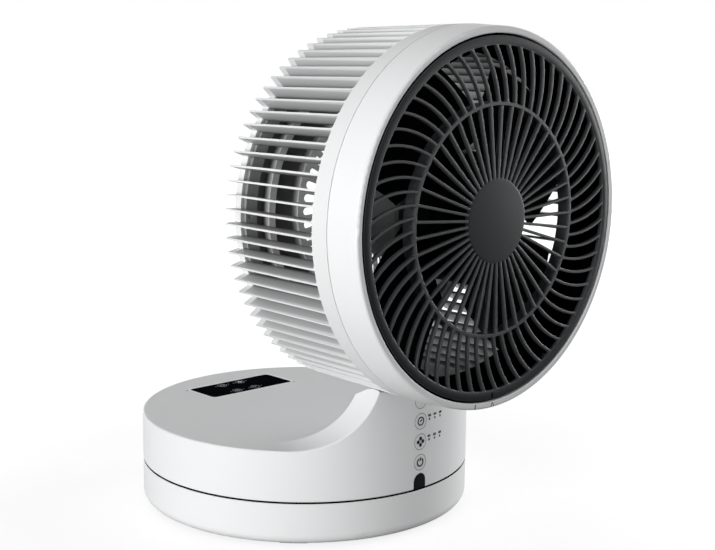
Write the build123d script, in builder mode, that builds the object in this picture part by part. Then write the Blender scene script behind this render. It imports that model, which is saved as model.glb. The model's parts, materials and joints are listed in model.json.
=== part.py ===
from build123d import *
from math import acos, cos, degrees, hypot, pi, radians, sin, sqrt, tan
import os

os.makedirs("parts", exist_ok=True)

# An air circulator fan: a round base in two shells, the upper of which turns on the lower,
# a curved column at its front, and a drum-shaped head that tilts on the column.
# Millimetres. Origin on the floor under the turning axis, +Z up, the fan blows towards -Y.

# ---- Base -------------------------------------------------------------------------------
base_radius = 120.0
wall = 2.5  # thickness of the white shells
foot_height = 2.0
lower_rim_height = 30.9  # top of the lower shell's side wall
seam_gap = 1.2  # open seam between the two base shells
deck_height = 67.0  # top of the upper shell
bottom_round = 7.0  # rounding under the lower shell
edge_break = 0.5
rim_round = 1.2  # rounding along the upper shell's top edge
running_gap = 0.3  # between faces that slide past each other
shaft_clearance = 0.05  # radial, on pins and shafts
piece_gap = 0.2  # between pieces that fit into each other

lower_deck_drop = 1.5  # the lower deck lies this far below its rim
lip_inset = 8.0  # from the outer wall in to the lip's inner face
lip_inner = base_radius - lip_inset
lip_thickness = 2.0
lip_height = 5.0
spindle_radius = 14.0
spindle_bore = 10.5
opening_radius = base_radius - bottom_round

foot_inset = 10.0
foot_width = 12.0
foot_outer = base_radius - foot_inset
foot_inner = foot_outer - foot_width
centre_foot_radius = 9.0
foot_count = 8
foot_half_angle = 5.1
foot_corner = 1.5

base_screw_inset = 16.0
base_screw_circle = base_radius - base_screw_inset
base_screw_start = 22.5
base_screw_count = 4
base_boss_radius = 4.0
base_screw_shank = 1.5
base_screw_length = 14.0
base_screw_head = 3.2
base_screw_head_height = 1.5
ballast_inner = 30.0
ballast_inset = 22.0
ballast_outer = base_radius - ballast_inset
ballast_thickness = 8.0
ballast_screw_circle = 64.0
ballast_screw_length = 5.0

board_size = (64.0, 44.0)  # power board, across and front to back
board_centre = (0.0, 66.0)
board_height = 17.0  # underside above the floor
board_thickness = 1.6
board_post_radius = 3.0
board_post_inset = 4.0

gland_bore = 3.5
gland_radius = 5.0
gland_flange = 6.5
gland_height = 16.0
gland_lip = 1.8

gear_module = 1.0
gear_teeth = 60
pinion_teeth = 15
gear_width = 7.0
pinion_width = 6.5
tooth_addendum = 0.8
tooth_dedendum = 1.05
tooth_backlash = 0.14
pressure_angle = radians(20)

slide_ring_inner = base_radius - 36.0
slide_ring_outer = base_radius - 24.0
slide_ring_height = 2.6

# ---- Turntable --------------------------------------------------------------------------
floor_rise = 8.6  # from the lower rim to the underside of the turntable's floor plate
floor_bottom = lower_rim_height + floor_rise
floor_thickness = 2.5
floor_radius = base_radius - 12.0
floor_rib_width = 10.0
floor_hub_radius = 18.0
floor_hub_drop = 2.8
retainer_radius = 20.0
retainer_thickness = 1.5
retainer_screw_circle = 12.25
retainer_screw_count = 3
retainer_screw_shank = 0.9
retainer_screw_length = 6.0
retainer_screw_head = 1.7
turntable_screw_inset = 20.0
turntable_screw_circle = base_radius - turntable_screw_inset
turntable_screw_count = 4
turntable_screw_length = 11.0
turntable_boss_radius = 4.0

pan_motor_offset = 14.5  # body centre beyond its shaft
pan_motor_radius = 25.0
pan_motor_height = 18.0
pan_motor_ear_reach = 30.0
pan_motor_ear_thickness = 1.5
pan_motor_ear_radius = 5.0
pan_shaft_radius = 3.0
pan_shaft_depth = 8.0

# ---- Column -----------------------------------------------------------------------------
column_thickness = 19.0
flank_radius = 56.0
flank_inset = 32.0
flank_x = base_radius - flank_inset  # where each concave flank meets the deck
column_top_gap = 1.1  # to the head above it
column_block_height = deck_height + 41.0  # taller than the column before its top is cut

first_button_drop = 16.3  # from the deck down to the lowest button
button_pitch = 14.5
button_names = ("power_button", "speed_button", "timer_button", "swing_button")
panel_button_heights = {
    name: deck_height - first_button_drop + button_pitch * row
    for row, name in enumerate(button_names)
}
button_radius = 5.4
button_gap = 0.35
button_ears = (12.8, 7.0)  # bar across its back that keeps a button in the wall
button_ear_thickness = 0.9
button_travel = 0.6
button_stem_radius = 1.5
switch_size = 6.0
switch_height = 1.6
plunger_radius = 1.6
plunger_height = 0.5
panel_board_inset = 9.0
panel_board_front = -(base_radius - panel_board_inset)
panel_board_thickness = 1.6
panel_board_bottom = lower_rim_height + 5.1
panel_board_shoulder = deck_height + 16.5
panel_board_top = deck_height - first_button_drop + 3 * button_pitch + 3.4
panel_board_neck = 6.0
panel_board_left = -14.0
panel_board_right = 25.0
panel_post_radius = 3.0
panel_post_places = [
    (-11.0, deck_height - 21.0),
    (-11.0, deck_height + 6.0),
    (20.0, deck_height + 5.5),
]
light_rows = ("speed_button", "timer_button")
light_arcs = (8.8, 14.7, 20.9)  # distance from the buttons' centre line, round the wall
light_radius = 0.9
window_width = 11.4
window_height = lower_rim_height + 12.1  # top of its arch above the floor
window_thickness = 2.0
receiver_size = (6.0, 4.5, 7.0)
receiver_height = lower_rim_height + 9.6

# ---- Remote control ---------------------------------------------------------------------
remote_length = 77.5
remote_width = 32.5
remote_thickness = 6.4
remote_centre = (-1.0, 76.0)
remote_corner = 3.5
remote_gap = 0.4
remote_proud = -0.2  # its top lies just below the deck
remote_wall = 1.2
recess_wall = 2.0
key_places = [(-11.5, 9.75), (6.0, 9.75), (-11.5, -9.75), (6.0, -9.75)]
key_names = ("remote_key_power", "remote_key_speed", "remote_key_timer", "remote_key_swing")
key_radius = 4.3
key_gap = 0.25
key_flange = 5.2
key_flange_thickness = 0.6
key_plunger = 1.5
key_plunger_length = 0.5
dome_radius = 2.4
dome_height = 0.3
remote_board_size = (46.0, 27.0)
remote_board_centre = (-13.0, 0.0)
remote_board_thickness = 0.8
remote_rib_height = 1.0
cell_radius = 10.0
cell_thickness = 2.5
cell_x = 24.0  # from the remote's middle
tray_wall = 1.5
tray_height = 3.0
tray_plug = 20.0

# ---- Tilt hinge -------------------------------------------------------------------------
pivot_inset = 11.0
pivot_rise = 25.0  # above the deck
pivot_y = -(base_radius - pivot_inset)
pivot_z = deck_height + pivot_rise
tilt_steps = (0, 5, 10, 15, 20, 25, 31)  # positions of the head that the column clears
pin_radius = 3.0
pin_head_radius = 4.5
pin_head_length = 1.6
barrel_radius = 5.5
cheek_inner = 8.6
arm_inner = 14.0
arm_outer = 20.1
washer_thickness = 1.0
cheek_outer_gap = 0.3
cheek_outer = 25.0
cheek_bottom = pivot_z - 9.0
slot_front = pivot_y - 6.6
slot_back = pivot_y + 13.0

# ---- Head -------------------------------------------------------------------------------
head_reach = 74.4  # from the tilt pivot forward to the bezel's front edge
head_front = pivot_y - head_reach
bezel_front_radius = 121.0
bezel_flare = 1.4
bezel_rear_radius = bezel_front_radius + bezel_flare
head_clearance = 8.8  # from the tilt pivot up to the head's underside
head_height = pivot_z + head_clearance + bezel_rear_radius  # its axis above the floor
bezel_depth = 23.9
bezel_face_round = 2.0
bezel_lip_radius = bezel_front_radius - 4.4
bezel_lip_depth = 5.0
head_seam = 0.4
tongue_length = 2.5
tongue_thickness = 1.3
band_length = 13.6  # closed band behind the bezel
band_end = bezel_depth + band_length  # where the open slots begin
band_flange = 2.5
head_depth = 123.1
tail_taper = 2.0
tail_radius = bezel_rear_radius - tail_taper
fin_count = 81
fin_thickness = 1.3
fin_height = 11.9
fin_inner = bezel_rear_radius - fin_height
fin_slot_round = 2.2
tail_ring_inner = tail_radius - 16.4
tail_ring_outer = tail_radius - 8.1
tail_ring_depth = 5.6
head_boss_radius = 3.2
head_boss_circle = bezel_front_radius - 9.2
head_screw_count = 6
head_screw_shank = 1.25
head_screw_length = 12.0
head_screw_head = 2.6
head_screw_head_height = 1.0

duct_inner = bezel_front_radius - 15.5
duct_wall = 2.0
duct_flange = 2.5
duct_end = band_end - band_flange - piece_gap

grille_radius = bezel_lip_radius - 0.4
grille_recess = 0.4  # behind the bezel's front edge
grille_thickness = 3.0
grille_rim_width = 6.9
grille_rim_inner = grille_radius - grille_rim_width
grille_ring_outer = 74.6
grille_ring_inner = 72.3
grille_ring_depth = 9.3
hub_disc_radius = 27.2
spoke_width = 1.8
inner_spokes = 45
outer_spokes = 60
swirl_angles = (0.2, 3.4, 8.5)  # along one outer spoke, from the ring to the rim
grille_skirt = 1.3
hook_count = 4
hook_start = 20.0
hook_inner = grille_radius - 4.2
hook_outer = grille_radius - 2.2
hook_leg_angle = 4.0
hook_foot_angle = 5.0
hook_foot_thickness = 2.0
grille_twist = 8.0  # turn that frees the grille
hook_gap = 0.6

cover_flange_radius = tail_ring_outer - 2.1
cover_flange_thickness = 2.6
cover_flange_front = head_depth - tail_ring_depth - piece_gap - cover_flange_thickness
cover_back = head_depth - 2.1
cover_thickness = 2.4
cover_disc_rise = 9.0  # of its rib and disc, forward from its back
cover_radii = (93.5, 88.3, 69.4, 30.0)  # of its rib, its raised disc and the dish in it
cover_disc_wall = 2.2
cover_screw_circle = tail_ring_inner + 3.0
cover_screw_count = 6
cover_screw_start = 0.0
cover_screw_head = 2.3
cover_screw_head_height = 1.6
cover_screw_length = 6.5
cover_screw_shank = 1.25
slot_count = 44
slot_inner_radius = 35.0
slot_outer_radius = 61.8
slot_half_inner = 1.5
slot_half_outer = 2.6
cover_dish_front = head_depth - 7.1
cover_dish_back = head_depth - 4.9
motor_post_circle = 24.0
motor_post_radius = 3.6
motor_post_count = 4

saddle_half_angle = 12.0
saddle_radius = bezel_rear_radius - 1.5
saddle_plate = 3.5
saddle_inner = fin_inner + running_gap
saddle_wall = 3.0
bracket_screw_circle = bezel_front_radius - 6.0
bracket_screw_angles = (-8.0, 8.0)
bracket_screw_length = 5.2
bracket_screw_shank = 1.25

# ---- Motor and impeller -----------------------------------------------------------------
motor_radius = 34.0
motor_front = 56.0
motor_split = 78.0
motor_back = 100.0
motor_wall = 2.0
motor_end_wall = 2.5
bearing_outer = 11.0
bearing_width = 5.0
bearing_cup = 14.0
motor_shaft_radius = 4.0
motor_shaft_start = 8.0
stator_start = 64.0
stator_end = 92.0
rotor_radius = 24.0
air_gap = 0.5
stator_teeth = 12
motor_screw_shank = 1.4
motor_screw_tip = 94.0
motor_screw_head = 2.8
motor_screw_head_height = 1.2

impeller_clearance = 4.0  # to the duct
impeller_radius = duct_inner - impeller_clearance
impeller_front = 13.0
impeller_depth = 29.0
impeller_hub = 42.6
impeller_hub_wall = 2.2
impeller_boss = 9.0
impeller_nose_round = 6.0
blade_count = 4
blade_phase = 35.5
blade_sweep = 13.3  # turn of the tip against the root
blade_root_chord = 80.1
blade_tip_chord = 92.3
blade_thickness = 2.6
blade_edge = 0.8
blade_camber = 0.03
blade_root_pitch = 12.5
blade_tip_pitch = 9.8
nut_radius = 9.5
nut_start = 6.0
nut_flutes = 8
nut_flute_radius = 1.4

# ---- Places worked out from the sizes ---------------------------------------------------
lower_deck = lower_rim_height - lower_deck_drop
upper_rim_height = lower_rim_height + seam_gap
plate_top = foot_height + wall
deck_underside = deck_height - wall
floor_top = floor_bottom + floor_thickness
spindle_top = floor_top + running_gap
scoop_radius = base_radius - column_thickness
flank_height = deck_height + flank_radius
pan_shaft_x = gear_module * (gear_teeth + pinion_teeth) / 2
pan_motor_x = pan_shaft_x + pan_motor_offset
grille_back = grille_recess + grille_thickness
duct_outer = duct_inner + duct_wall
duct_flange_back = bezel_lip_depth + duct_flange
bezel_inner = bezel_front_radius - wall + 0.4
band_start = bezel_depth + head_seam
fin_pitch = 360 / fin_count
remote_top = deck_height + remote_proud
remote_bottom = remote_top - remote_thickness
recess_floor = remote_bottom - piece_gap
light_xs = [base_radius * sin(arc / base_radius) for arc in light_arcs]
arm_slot_inner = arm_inner - piece_gap - washer_thickness
arm_slot_outer = arm_outer + cheek_outer_gap
head_axis = Axis((0, 0, head_height), (0, 1, 0))


def head_plane(depth):
    """The plane across the head at a depth behind its front edge, seen from the front."""
    return Plane(origin=(0, head_front + depth, head_height), x_dir=(1, 0, 0), z_dir=(0, -1, 0))


def downward(height):
    """A level plane that looks down, for places that are symmetrical front to back."""
    return Plane(origin=(0, 0, height), x_dir=(1, 0, 0), z_dir=(0, 0, -1))


def rearward(depth):
    """The plane across the head that looks back, for places symmetrical top to bottom."""
    return Plane(origin=(0, head_front + depth, head_height), x_dir=(1, 0, 0), z_dir=(0, 1, 0))


def tilted_plane(tilt):
    """The upright plane through the tilt pivot, leaning back with the head."""
    lean = radians(tilt)
    return Plane(origin=(0, pivot_y, pivot_z), x_dir=(1, 0, 0), z_dir=(0, -cos(lean), sin(lean)))


def cage_radius(depth):
    """Outer radius of the tapered fin cage at a depth behind the head's front edge."""
    fall = (bezel_rear_radius - tail_radius) / (head_depth - band_start)
    return bezel_rear_radius - fall * (depth - band_start)


def around(radius, count, start=0.0):
    """Points evenly spaced on a circle."""
    angles = [radians(start + 360 * step / count) for step in range(count)]
    return [(radius * cos(angle), radius * sin(angle)) for angle in angles]


def corners(x, y):
    """The four corners of a rectangle about the origin."""
    return [(-x, -y), (x, -y), (x, y), (-x, y)]


def ring(plane, outer, inner, height, mode=Mode.ADD):
    """A ring standing on a plane, or a disc where the inner radius is zero."""
    with BuildSketch(plane) as outline:
        Circle(outer)
        if inner > 0:
            Circle(inner, mode=Mode.SUBTRACT)
    extrude(outline.sketch, amount=height, mode=mode)


def posts(plane, places, radius, height, mode=Mode.ADD):
    """Round posts on a plane, or holes where they are subtracted."""
    with BuildSketch(plane) as outline:
        with Locations(*places):
            Circle(radius)
    extrude(outline.sketch, amount=height, mode=mode)


def block(plane, width, length, height, place=(0, 0), corner=0.0, mode=Mode.ADD):
    """A block on a plane about one place, with its upright edges rounded where asked."""
    with BuildSketch(plane) as outline:
        with Locations(place):
            if corner > 0:
                RectangleRounded(width, length, corner)
            else:
                Rectangle(width, length)
    extrude(outline.sketch, amount=height, mode=mode)


def turned(plane, points, axis, mode=Mode.ADD):
    """A closed outline turned about an axis."""
    with BuildSketch(plane) as section:
        with BuildLine():
            Polyline(*points, close=True)
        make_face()
    revolve(section.sketch, axis=axis, mode=mode)


def head_turned(points, mode=Mode.ADD):
    """An outline of (depth, radius) points turned about the head's axis."""
    turned(
        Plane.YZ,
        [(head_front + depth, head_height + radius) for depth, radius in points],
        head_axis,
        mode,
    )


def sector(plane, outer, inner, first, last, height, mode=Mode.ADD):
    """A ring segment between two angles, in degrees."""
    with BuildSketch(plane) as outline:
        with BuildLine():
            far = CenterArc((0, 0), outer, first, last - first)
            near = CenterArc((0, 0), inner, first, last - first)
            Line(far @ 0, near @ 0)
            Line(far @ 1, near @ 1)
        make_face()
    extrude(outline.sketch, amount=height, mode=mode)


def screws(seat, places, head_radius, head_height, shank_radius, shank_length):
    """Cross-slot screws; the seat plane looks the way their tips point."""
    posts(seat, places, head_radius, -head_height)
    posts(seat, places, shank_radius, shank_length)
    with BuildSketch(seat.offset(-head_height)) as recess:
        with Locations(*places):
            Rectangle(1.2 * head_radius, 0.3 * head_radius)
            Rectangle(0.3 * head_radius, 1.2 * head_radius)
    extrude(recess.sketch, amount=0.6 * head_height, mode=Mode.SUBTRACT)


def involute(angle):
    return tan(angle) - angle


def gear_points(teeth):
    """Outline of an involute gear with one tooth on the +X side."""
    pitch = gear_module * teeth / 2
    base = pitch * cos(pressure_angle)
    root = pitch - tooth_dedendum
    tip = pitch + tooth_addendum
    half_at_base = pi / (2 * teeth) - tooth_backlash / (2 * pitch) + involute(pressure_angle)
    start = max(root, base)
    radii = [start + (tip - start) * step / 4 for step in range(5)]
    flank = [(radius, half_at_base - involute(acos(base / radius))) for radius in radii]
    if root < base:
        flank.insert(0, (root, half_at_base))
    points = []
    for tooth in range(teeth):
        middle = 2 * pi * tooth / teeth
        points += [(radius, middle - half) for radius, half in flank]
        points += [(radius, middle + half) for radius, half in reversed(flank)]
    return [(radius * cos(angle), radius * sin(angle)) for radius, angle in points]


# ---- Lower base -------------------------------------------------------------------------
base_screw_places = around(base_screw_circle, base_screw_count, base_screw_start)
board_posts = [
    (board_centre[0] + x, board_centre[1] + y)
    for x, y in corners(board_size[0] / 2 - board_post_inset, board_size[1] / 2 - board_post_inset)
]
with BuildPart() as lower_base_shell:
    with BuildSketch(Plane.XZ):
        with BuildLine():
            outside = CenterArc(
                (opening_radius, foot_height + bottom_round), bottom_round, -90, 90
            )
            inside = CenterArc(
                (opening_radius, foot_height + bottom_round), bottom_round - wall, -90, 90
            )
            Polyline(
                outside @ 1,
                (base_radius, lower_rim_height - edge_break),
                (base_radius - edge_break, lower_rim_height),
                (base_radius - wall, lower_rim_height),
                (base_radius - wall, lower_deck),
                (lip_inner + lip_thickness, lower_deck),
                (lip_inner + lip_thickness, lower_deck + lip_height),
                (lip_inner, lower_deck + lip_height),
                (lip_inner, lower_deck),
                (spindle_radius, lower_deck),
                (spindle_radius, spindle_top),
                (spindle_bore, spindle_top),
                (spindle_bore, lower_deck - wall),
                (base_radius - wall, lower_deck - wall),
                inside @ 1,
            )
            Line(inside @ 0, outside @ 0)
        make_face()
    revolve(axis=Axis.Z)
    boss_height = lower_deck - wall - plate_top
    posts(Plane.XY.offset(plate_top), base_screw_places, base_boss_radius, boss_height)
    posts(
        Plane.XY.offset(plate_top),
        base_screw_places,
        base_screw_shank + shaft_clearance,
        base_screw_length,
        mode=Mode.SUBTRACT,
    )
    board_top = board_height + board_thickness
    posts(
        Plane.XY.offset(board_top),
        board_posts,
        board_post_radius,
        lower_deck - wall - board_top,
    )
    posts(
        Plane.XY.offset(spindle_top),
        around(retainer_screw_circle, retainer_screw_count),
        retainer_screw_shank + shaft_clearance,
        -retainer_screw_length,
        mode=Mode.SUBTRACT,
    )
    posts(
        Plane.XZ.offset(-opening_radius),
        [(0, gland_height)],
        gland_radius + shaft_clearance,
        -(base_radius - opening_radius + 1),
        mode=Mode.SUBTRACT,
    )
lower_base_shell.part.label = "lower_base_shell"
export_step(lower_base_shell.part, "parts/lower_base_shell.step")

ballast_screw_places = around(ballast_screw_circle, base_screw_count, base_screw_start)
with BuildPart() as base_plate:
    ring(Plane.XY.offset(foot_height), opening_radius - piece_gap, 0, wall)
    for places in (base_screw_places, ballast_screw_places):
        posts(
            Plane.XY.offset(foot_height),
            places,
            base_screw_head + piece_gap,
            base_screw_head_height,
            mode=Mode.SUBTRACT,
        )
        posts(
            Plane.XY.offset(foot_height),
            places,
            base_screw_shank + shaft_clearance,
            wall,
            mode=Mode.SUBTRACT,
        )
base_plate.part.label = "base_plate"
export_step(base_plate.part, "parts/base_plate.step")

with BuildPart() as ballast_plate:
    ring(Plane.XY.offset(plate_top), ballast_outer, ballast_inner, ballast_thickness)
    posts(
        Plane.XY.offset(plate_top),
        ballast_screw_places,
        base_screw_shank + shaft_clearance,
        ballast_thickness,
        mode=Mode.SUBTRACT,
    )
ballast_plate.part.label = "ballast_plate"
export_step(ballast_plate.part, "parts/ballast_plate.step")

with BuildPart() as base_screws:
    seat = Plane.XY.offset(foot_height + base_screw_head_height)
    screws(
        seat,
        base_screw_places,
        base_screw_head,
        base_screw_head_height,
        base_screw_shank,
        base_screw_length,
    )
    screws(
        seat,
        ballast_screw_places,
        base_screw_head,
        base_screw_head_height,
        base_screw_shank,
        ballast_screw_length,
    )
base_screws.part.label = "base_screws"
export_step(base_screws.part, "parts/base_screws.step")

with BuildPart() as rubber_feet:
    for foot in range(foot_count):
        middle = 360 * foot / foot_count
        sector(
            Plane.XY,
            foot_outer,
            foot_inner,
            middle - foot_half_angle,
            middle + foot_half_angle,
            foot_height,
        )
    fillet(rubber_feet.edges().filter_by(Axis.Z), foot_corner)
    posts(Plane.XY, [(0, 0)], centre_foot_radius, foot_height)
rubber_feet.part.label = "rubber_feet"
export_step(rubber_feet.part, "parts/rubber_feet.step")

with BuildPart() as power_board:
    block(Plane.XY.offset(board_height), *board_size, board_thickness, board_centre)
    on_board = Plane.XY.offset(board_height + board_thickness).shift_origin(
        (*board_centre, board_height + board_thickness)
    )
    block(on_board, 20.0, 16.0, 7.5, (-12.0, 2.0))
    block(on_board, 12.0, 8.0, 6.0, (12.0, 9.0))
    posts(on_board, [(8.0, -6.0), (19.0, -6.0)], 4.0, 7.5)
power_board.part.label = "power_board"
export_step(power_board.part, "parts/power_board.step")

with BuildPart() as cord_gland:
    gland_front = base_radius - edge_break + gland_lip
    gland_back = base_radius - 2 * wall - 0.6
    gland_axis = Axis((0, 0, gland_height), (0, 1, 0))
    turned(
        Plane.YZ,
        [
            (gland_back, gland_height + gland_bore),
            (gland_front, gland_height + gland_bore),
            (gland_front, gland_height + gland_flange - edge_break),
            (gland_front - edge_break, gland_height + gland_flange),
            (base_radius + piece_gap, gland_height + gland_flange),
            (base_radius + piece_gap, gland_height + gland_radius),
            (base_radius - wall - piece_gap, gland_height + gland_radius),
            (base_radius - wall - running_gap, gland_height + gland_flange),
            (gland_back, gland_height + gland_flange),
        ],
        gland_axis,
    )
cord_gland.part.label = "cord_gland"
export_step(cord_gland.part, "parts/cord_gland.step")

with BuildPart() as pan_gear:
    with BuildSketch(Plane.XY.offset(lower_deck)):
        with BuildLine():
            Polyline(*gear_points(gear_teeth), close=True)
        make_face()
        Circle(spindle_radius + shaft_clearance, mode=Mode.SUBTRACT)
    extrude(amount=gear_width)
pan_gear.part.label = "pan_gear"
export_step(pan_gear.part, "parts/pan_gear.step")

with BuildPart() as slide_ring:
    ring(Plane.XY.offset(lower_deck), slide_ring_outer, slide_ring_inner, slide_ring_height)
slide_ring.part.label = "slide_ring"
export_step(slide_ring.part, "parts/slide_ring.step")

retainer_screw_places = around(retainer_screw_circle, retainer_screw_count)
with BuildPart() as pan_retainer:
    ring(Plane.XY.offset(spindle_top), retainer_radius, spindle_bore, retainer_thickness)
    posts(
        Plane.XY.offset(spindle_top),
        retainer_screw_places,
        retainer_screw_shank + shaft_clearance,
        retainer_thickness,
        mode=Mode.SUBTRACT,
    )
pan_retainer.part.label = "pan_retainer"
export_step(pan_retainer.part, "parts/pan_retainer.step")

with BuildPart() as retainer_screws:
    screws(
        downward(spindle_top + retainer_thickness),
        retainer_screw_places,
        retainer_screw_head,
        1.2,
        retainer_screw_shank,
        retainer_screw_length,
    )
retainer_screws.part.label = "retainer_screws"
export_step(retainer_screws.part, "parts/retainer_screws.step")


# ---- Upper base and column --------------------------------------------------------------
def column_form(inset):
    """The curved column, drawn in by an inset everywhere but at its foot."""
    reach = flank_radius + inset
    rise = degrees(acos((flank_height - column_block_height) / reach))
    foot = deck_underside - 1.0
    with BuildPart() as form:
        ring(
            Plane.XY.offset(foot),
            base_radius - inset,
            scoop_radius + inset,
            column_block_height - foot,
        )
        with BuildSketch(Plane.XZ):
            with BuildLine():
                left = CenterArc((-flank_x, flank_height), reach, -90, rise)
                right = CenterArc((flank_x, flank_height), reach, -90, -rise)
                Polyline(left @ 0, (-flank_x, foot), (flank_x, foot), right @ 0)
                Line(left @ 1, right @ 1)
            make_face()
        extrude(amount=base_radius, mode=Mode.INTERSECT)
        for tilt in tilt_steps:
            sweep_radius = cage_radius(pivot_y - head_front) + column_top_gap + inset
            with BuildSketch(tilted_plane(tilt)):
                with Locations((0, head_height - pivot_z)):
                    Circle(sweep_radius)
            extrude(amount=head_depth, both=True, mode=Mode.SUBTRACT)
    return form.part


def column_hollow():
    """The room inside the column, less the solid cheeks beside the hinge arms."""
    with BuildPart() as hollow:
        add(column_form(wall))
        height = column_block_height - cheek_bottom
        for inner, outer in ((cheek_inner, arm_slot_inner), (arm_slot_outer, cheek_outer)):
            for side in (-1, 1):
                block(
                    Plane.XY.offset(cheek_bottom),
                    outer - inner,
                    base_radius,
                    height,
                    (side * (inner + outer) / 2, -base_radius),
                    mode=Mode.SUBTRACT,
                )
    return hollow.part


def on_rim(edge):
    """True for an edge on the base's outer wall at or above the deck."""
    spots = (edge @ 0, edge @ 0.5, edge @ 1)
    return all(abs(hypot(p.X, p.Y) - base_radius) < 0.01 and p.Z > deck_height - 1 for p in spots)


front_face = Plane.XZ.offset(base_radius + 1)
arch_radius = window_width / 2 + piece_gap / 2
arch_height = window_height - arch_radius
turntable_screw_places = around(turntable_screw_circle, turntable_screw_count, 45)
with BuildPart() as upper_base_shell:
    ring(Plane.XY.offset(upper_rim_height), base_radius, 0, deck_height - upper_rim_height)
    add(column_form(0))
    fillet(upper_base_shell.edges().filter_by(on_rim), rim_round)
    chamfer(
        upper_base_shell.edges().filter_by(GeomType.CIRCLE).sort_by(Axis.Z)[0],
        edge_break,
    )
    ring(
        Plane.XY.offset(upper_rim_height),
        base_radius - wall,
        0,
        deck_underside - upper_rim_height,
        mode=Mode.SUBTRACT,
    )
    add(column_hollow(), mode=Mode.SUBTRACT)
    # slots that the two hinge arms move in, open above and behind
    for side in (-1, 1):
        block(
            Plane.XY.offset(cheek_bottom + wall),
            arm_slot_outer - arm_slot_inner,
            slot_back - slot_front,
            column_block_height - cheek_bottom,
            (side * (arm_slot_inner + arm_slot_outer) / 2, (slot_front + slot_back) / 2),
            mode=Mode.SUBTRACT,
        )
    posts(
        Plane.YZ.offset(-cheek_outer),
        [(pivot_y, pivot_z)],
        pin_radius + shaft_clearance,
        2 * cheek_outer,
        mode=Mode.SUBTRACT,
    )
    # tub under the remote control's recess
    block(
        Plane.XY.offset(recess_floor - recess_wall),
        remote_length + 2 * (remote_gap + recess_wall),
        remote_width + 2 * (remote_gap + recess_wall),
        deck_underside - recess_floor + recess_wall,
        remote_centre,
        remote_corner + remote_gap + recess_wall,
    )
    block(
        Plane.XY.offset(recess_floor),
        remote_length + 2 * remote_gap,
        remote_width + 2 * remote_gap,
        deck_height - recess_floor,
        remote_centre,
        remote_corner + remote_gap,
        mode=Mode.SUBTRACT,
    )
    posts(
        Plane.XY.offset(floor_top),
        turntable_screw_places,
        turntable_boss_radius,
        deck_underside - floor_top,
    )
    posts(
        Plane.XY.offset(floor_top),
        turntable_screw_places,
        base_screw_shank + shaft_clearance,
        turntable_screw_length,
        mode=Mode.SUBTRACT,
    )
    posts(
        Plane.XZ.offset(-panel_board_front),
        panel_post_places,
        panel_post_radius,
        base_radius - wall + panel_board_front - 0.3,
    )
    # openings in the front wall for the buttons, the lights and the infrared window
    posts(
        front_face,
        [(0, height) for height in panel_button_heights.values()],
        button_radius + button_gap,
        -(wall + 2),
        mode=Mode.SUBTRACT,
    )
    posts(
        front_face,
        [(x, panel_button_heights[row]) for row in light_rows for x in light_xs],
        light_radius + shaft_clearance,
        -(wall + 4),
        mode=Mode.SUBTRACT,
    )
    with BuildSketch(front_face):
        with Locations((0, arch_height)):
            Circle(arch_radius)
        with Locations((0, arch_height - arch_height / 2)):
            Rectangle(2 * arch_radius, arch_height)
    extrude(amount=-(wall + 2), mode=Mode.SUBTRACT)
upper_base_shell.part.label = "upper_base_shell"
export_step(upper_base_shell.part, "parts/upper_base_shell.step")

with BuildPart() as turntable_plate:
    ring(Plane.XY.offset(floor_bottom), floor_radius, 0, floor_thickness)
    ring(
        Plane.XY.offset(floor_bottom - floor_hub_drop),
        floor_hub_radius,
        0,
        floor_hub_drop,
    )
    rib_inner = (slide_ring_inner + slide_ring_outer - floor_rib_width) / 2
    rib_bottom = lower_deck + slide_ring_height + running_gap
    ring(
        Plane.XY.offset(rib_bottom),
        rib_inner + floor_rib_width,
        rib_inner,
        floor_bottom - rib_bottom,
    )
    posts(
        Plane.XY.offset(rib_bottom),
        [(0, 0)],
        spindle_radius + shaft_clearance,
        floor_top - rib_bottom,
        mode=Mode.SUBTRACT,
    )
    posts(
        Plane.XY.offset(floor_bottom),
        turntable_screw_places,
        base_screw_shank + shaft_clearance,
        floor_thickness,
        mode=Mode.SUBTRACT,
    )
    pan_ears = [(pan_motor_x, -pan_motor_ear_reach), (pan_motor_x, pan_motor_ear_reach)]
    posts(
        Plane.XY.offset(floor_bottom),
        pan_ears,
        base_screw_shank + shaft_clearance,
        floor_thickness,
        mode=Mode.SUBTRACT,
    )
    posts(
        Plane.XY.offset(floor_bottom),
        [(pan_shaft_x, 0)],
        pan_shaft_radius + shaft_clearance,
        floor_thickness,
        mode=Mode.SUBTRACT,
    )
turntable_plate.part.label = "turntable_plate"
export_step(turntable_plate.part, "parts/turntable_plate.step")

with BuildPart() as turntable_screws:
    screws(
        Plane.XY.offset(floor_bottom),
        turntable_screw_places,
        base_screw_head,
        base_screw_head_height,
        base_screw_shank,
        floor_thickness + turntable_screw_length - 1,
    )
turntable_screws.part.label = "turntable_screws"
export_step(turntable_screws.part, "parts/turntable_screws.step")

with BuildPart() as pan_motor:
    posts(Plane.XY.offset(floor_top), [(pan_motor_x, 0)], pan_motor_radius, pan_motor_height)
    with BuildSketch(Plane.XY.offset(floor_top)):
        with Locations((pan_motor_x, 0)):
            SlotCenterToCenter(2 * pan_motor_ear_reach, 2 * pan_motor_ear_radius, rotation=90)
    extrude(amount=pan_motor_ear_thickness)
    posts(
        Plane.XY.offset(floor_top),
        pan_ears,
        base_screw_shank + shaft_clearance,
        pan_motor_ear_thickness,
        mode=Mode.SUBTRACT,
    )
    posts(
        Plane.XY.offset(floor_top),
        [(pan_shaft_x, 0)],
        pan_shaft_radius + shaft_clearance,
        pan_shaft_depth,
        mode=Mode.SUBTRACT,
    )
pan_motor.part.label = "pan_motor"
export_step(pan_motor.part, "parts/pan_motor.step")

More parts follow.
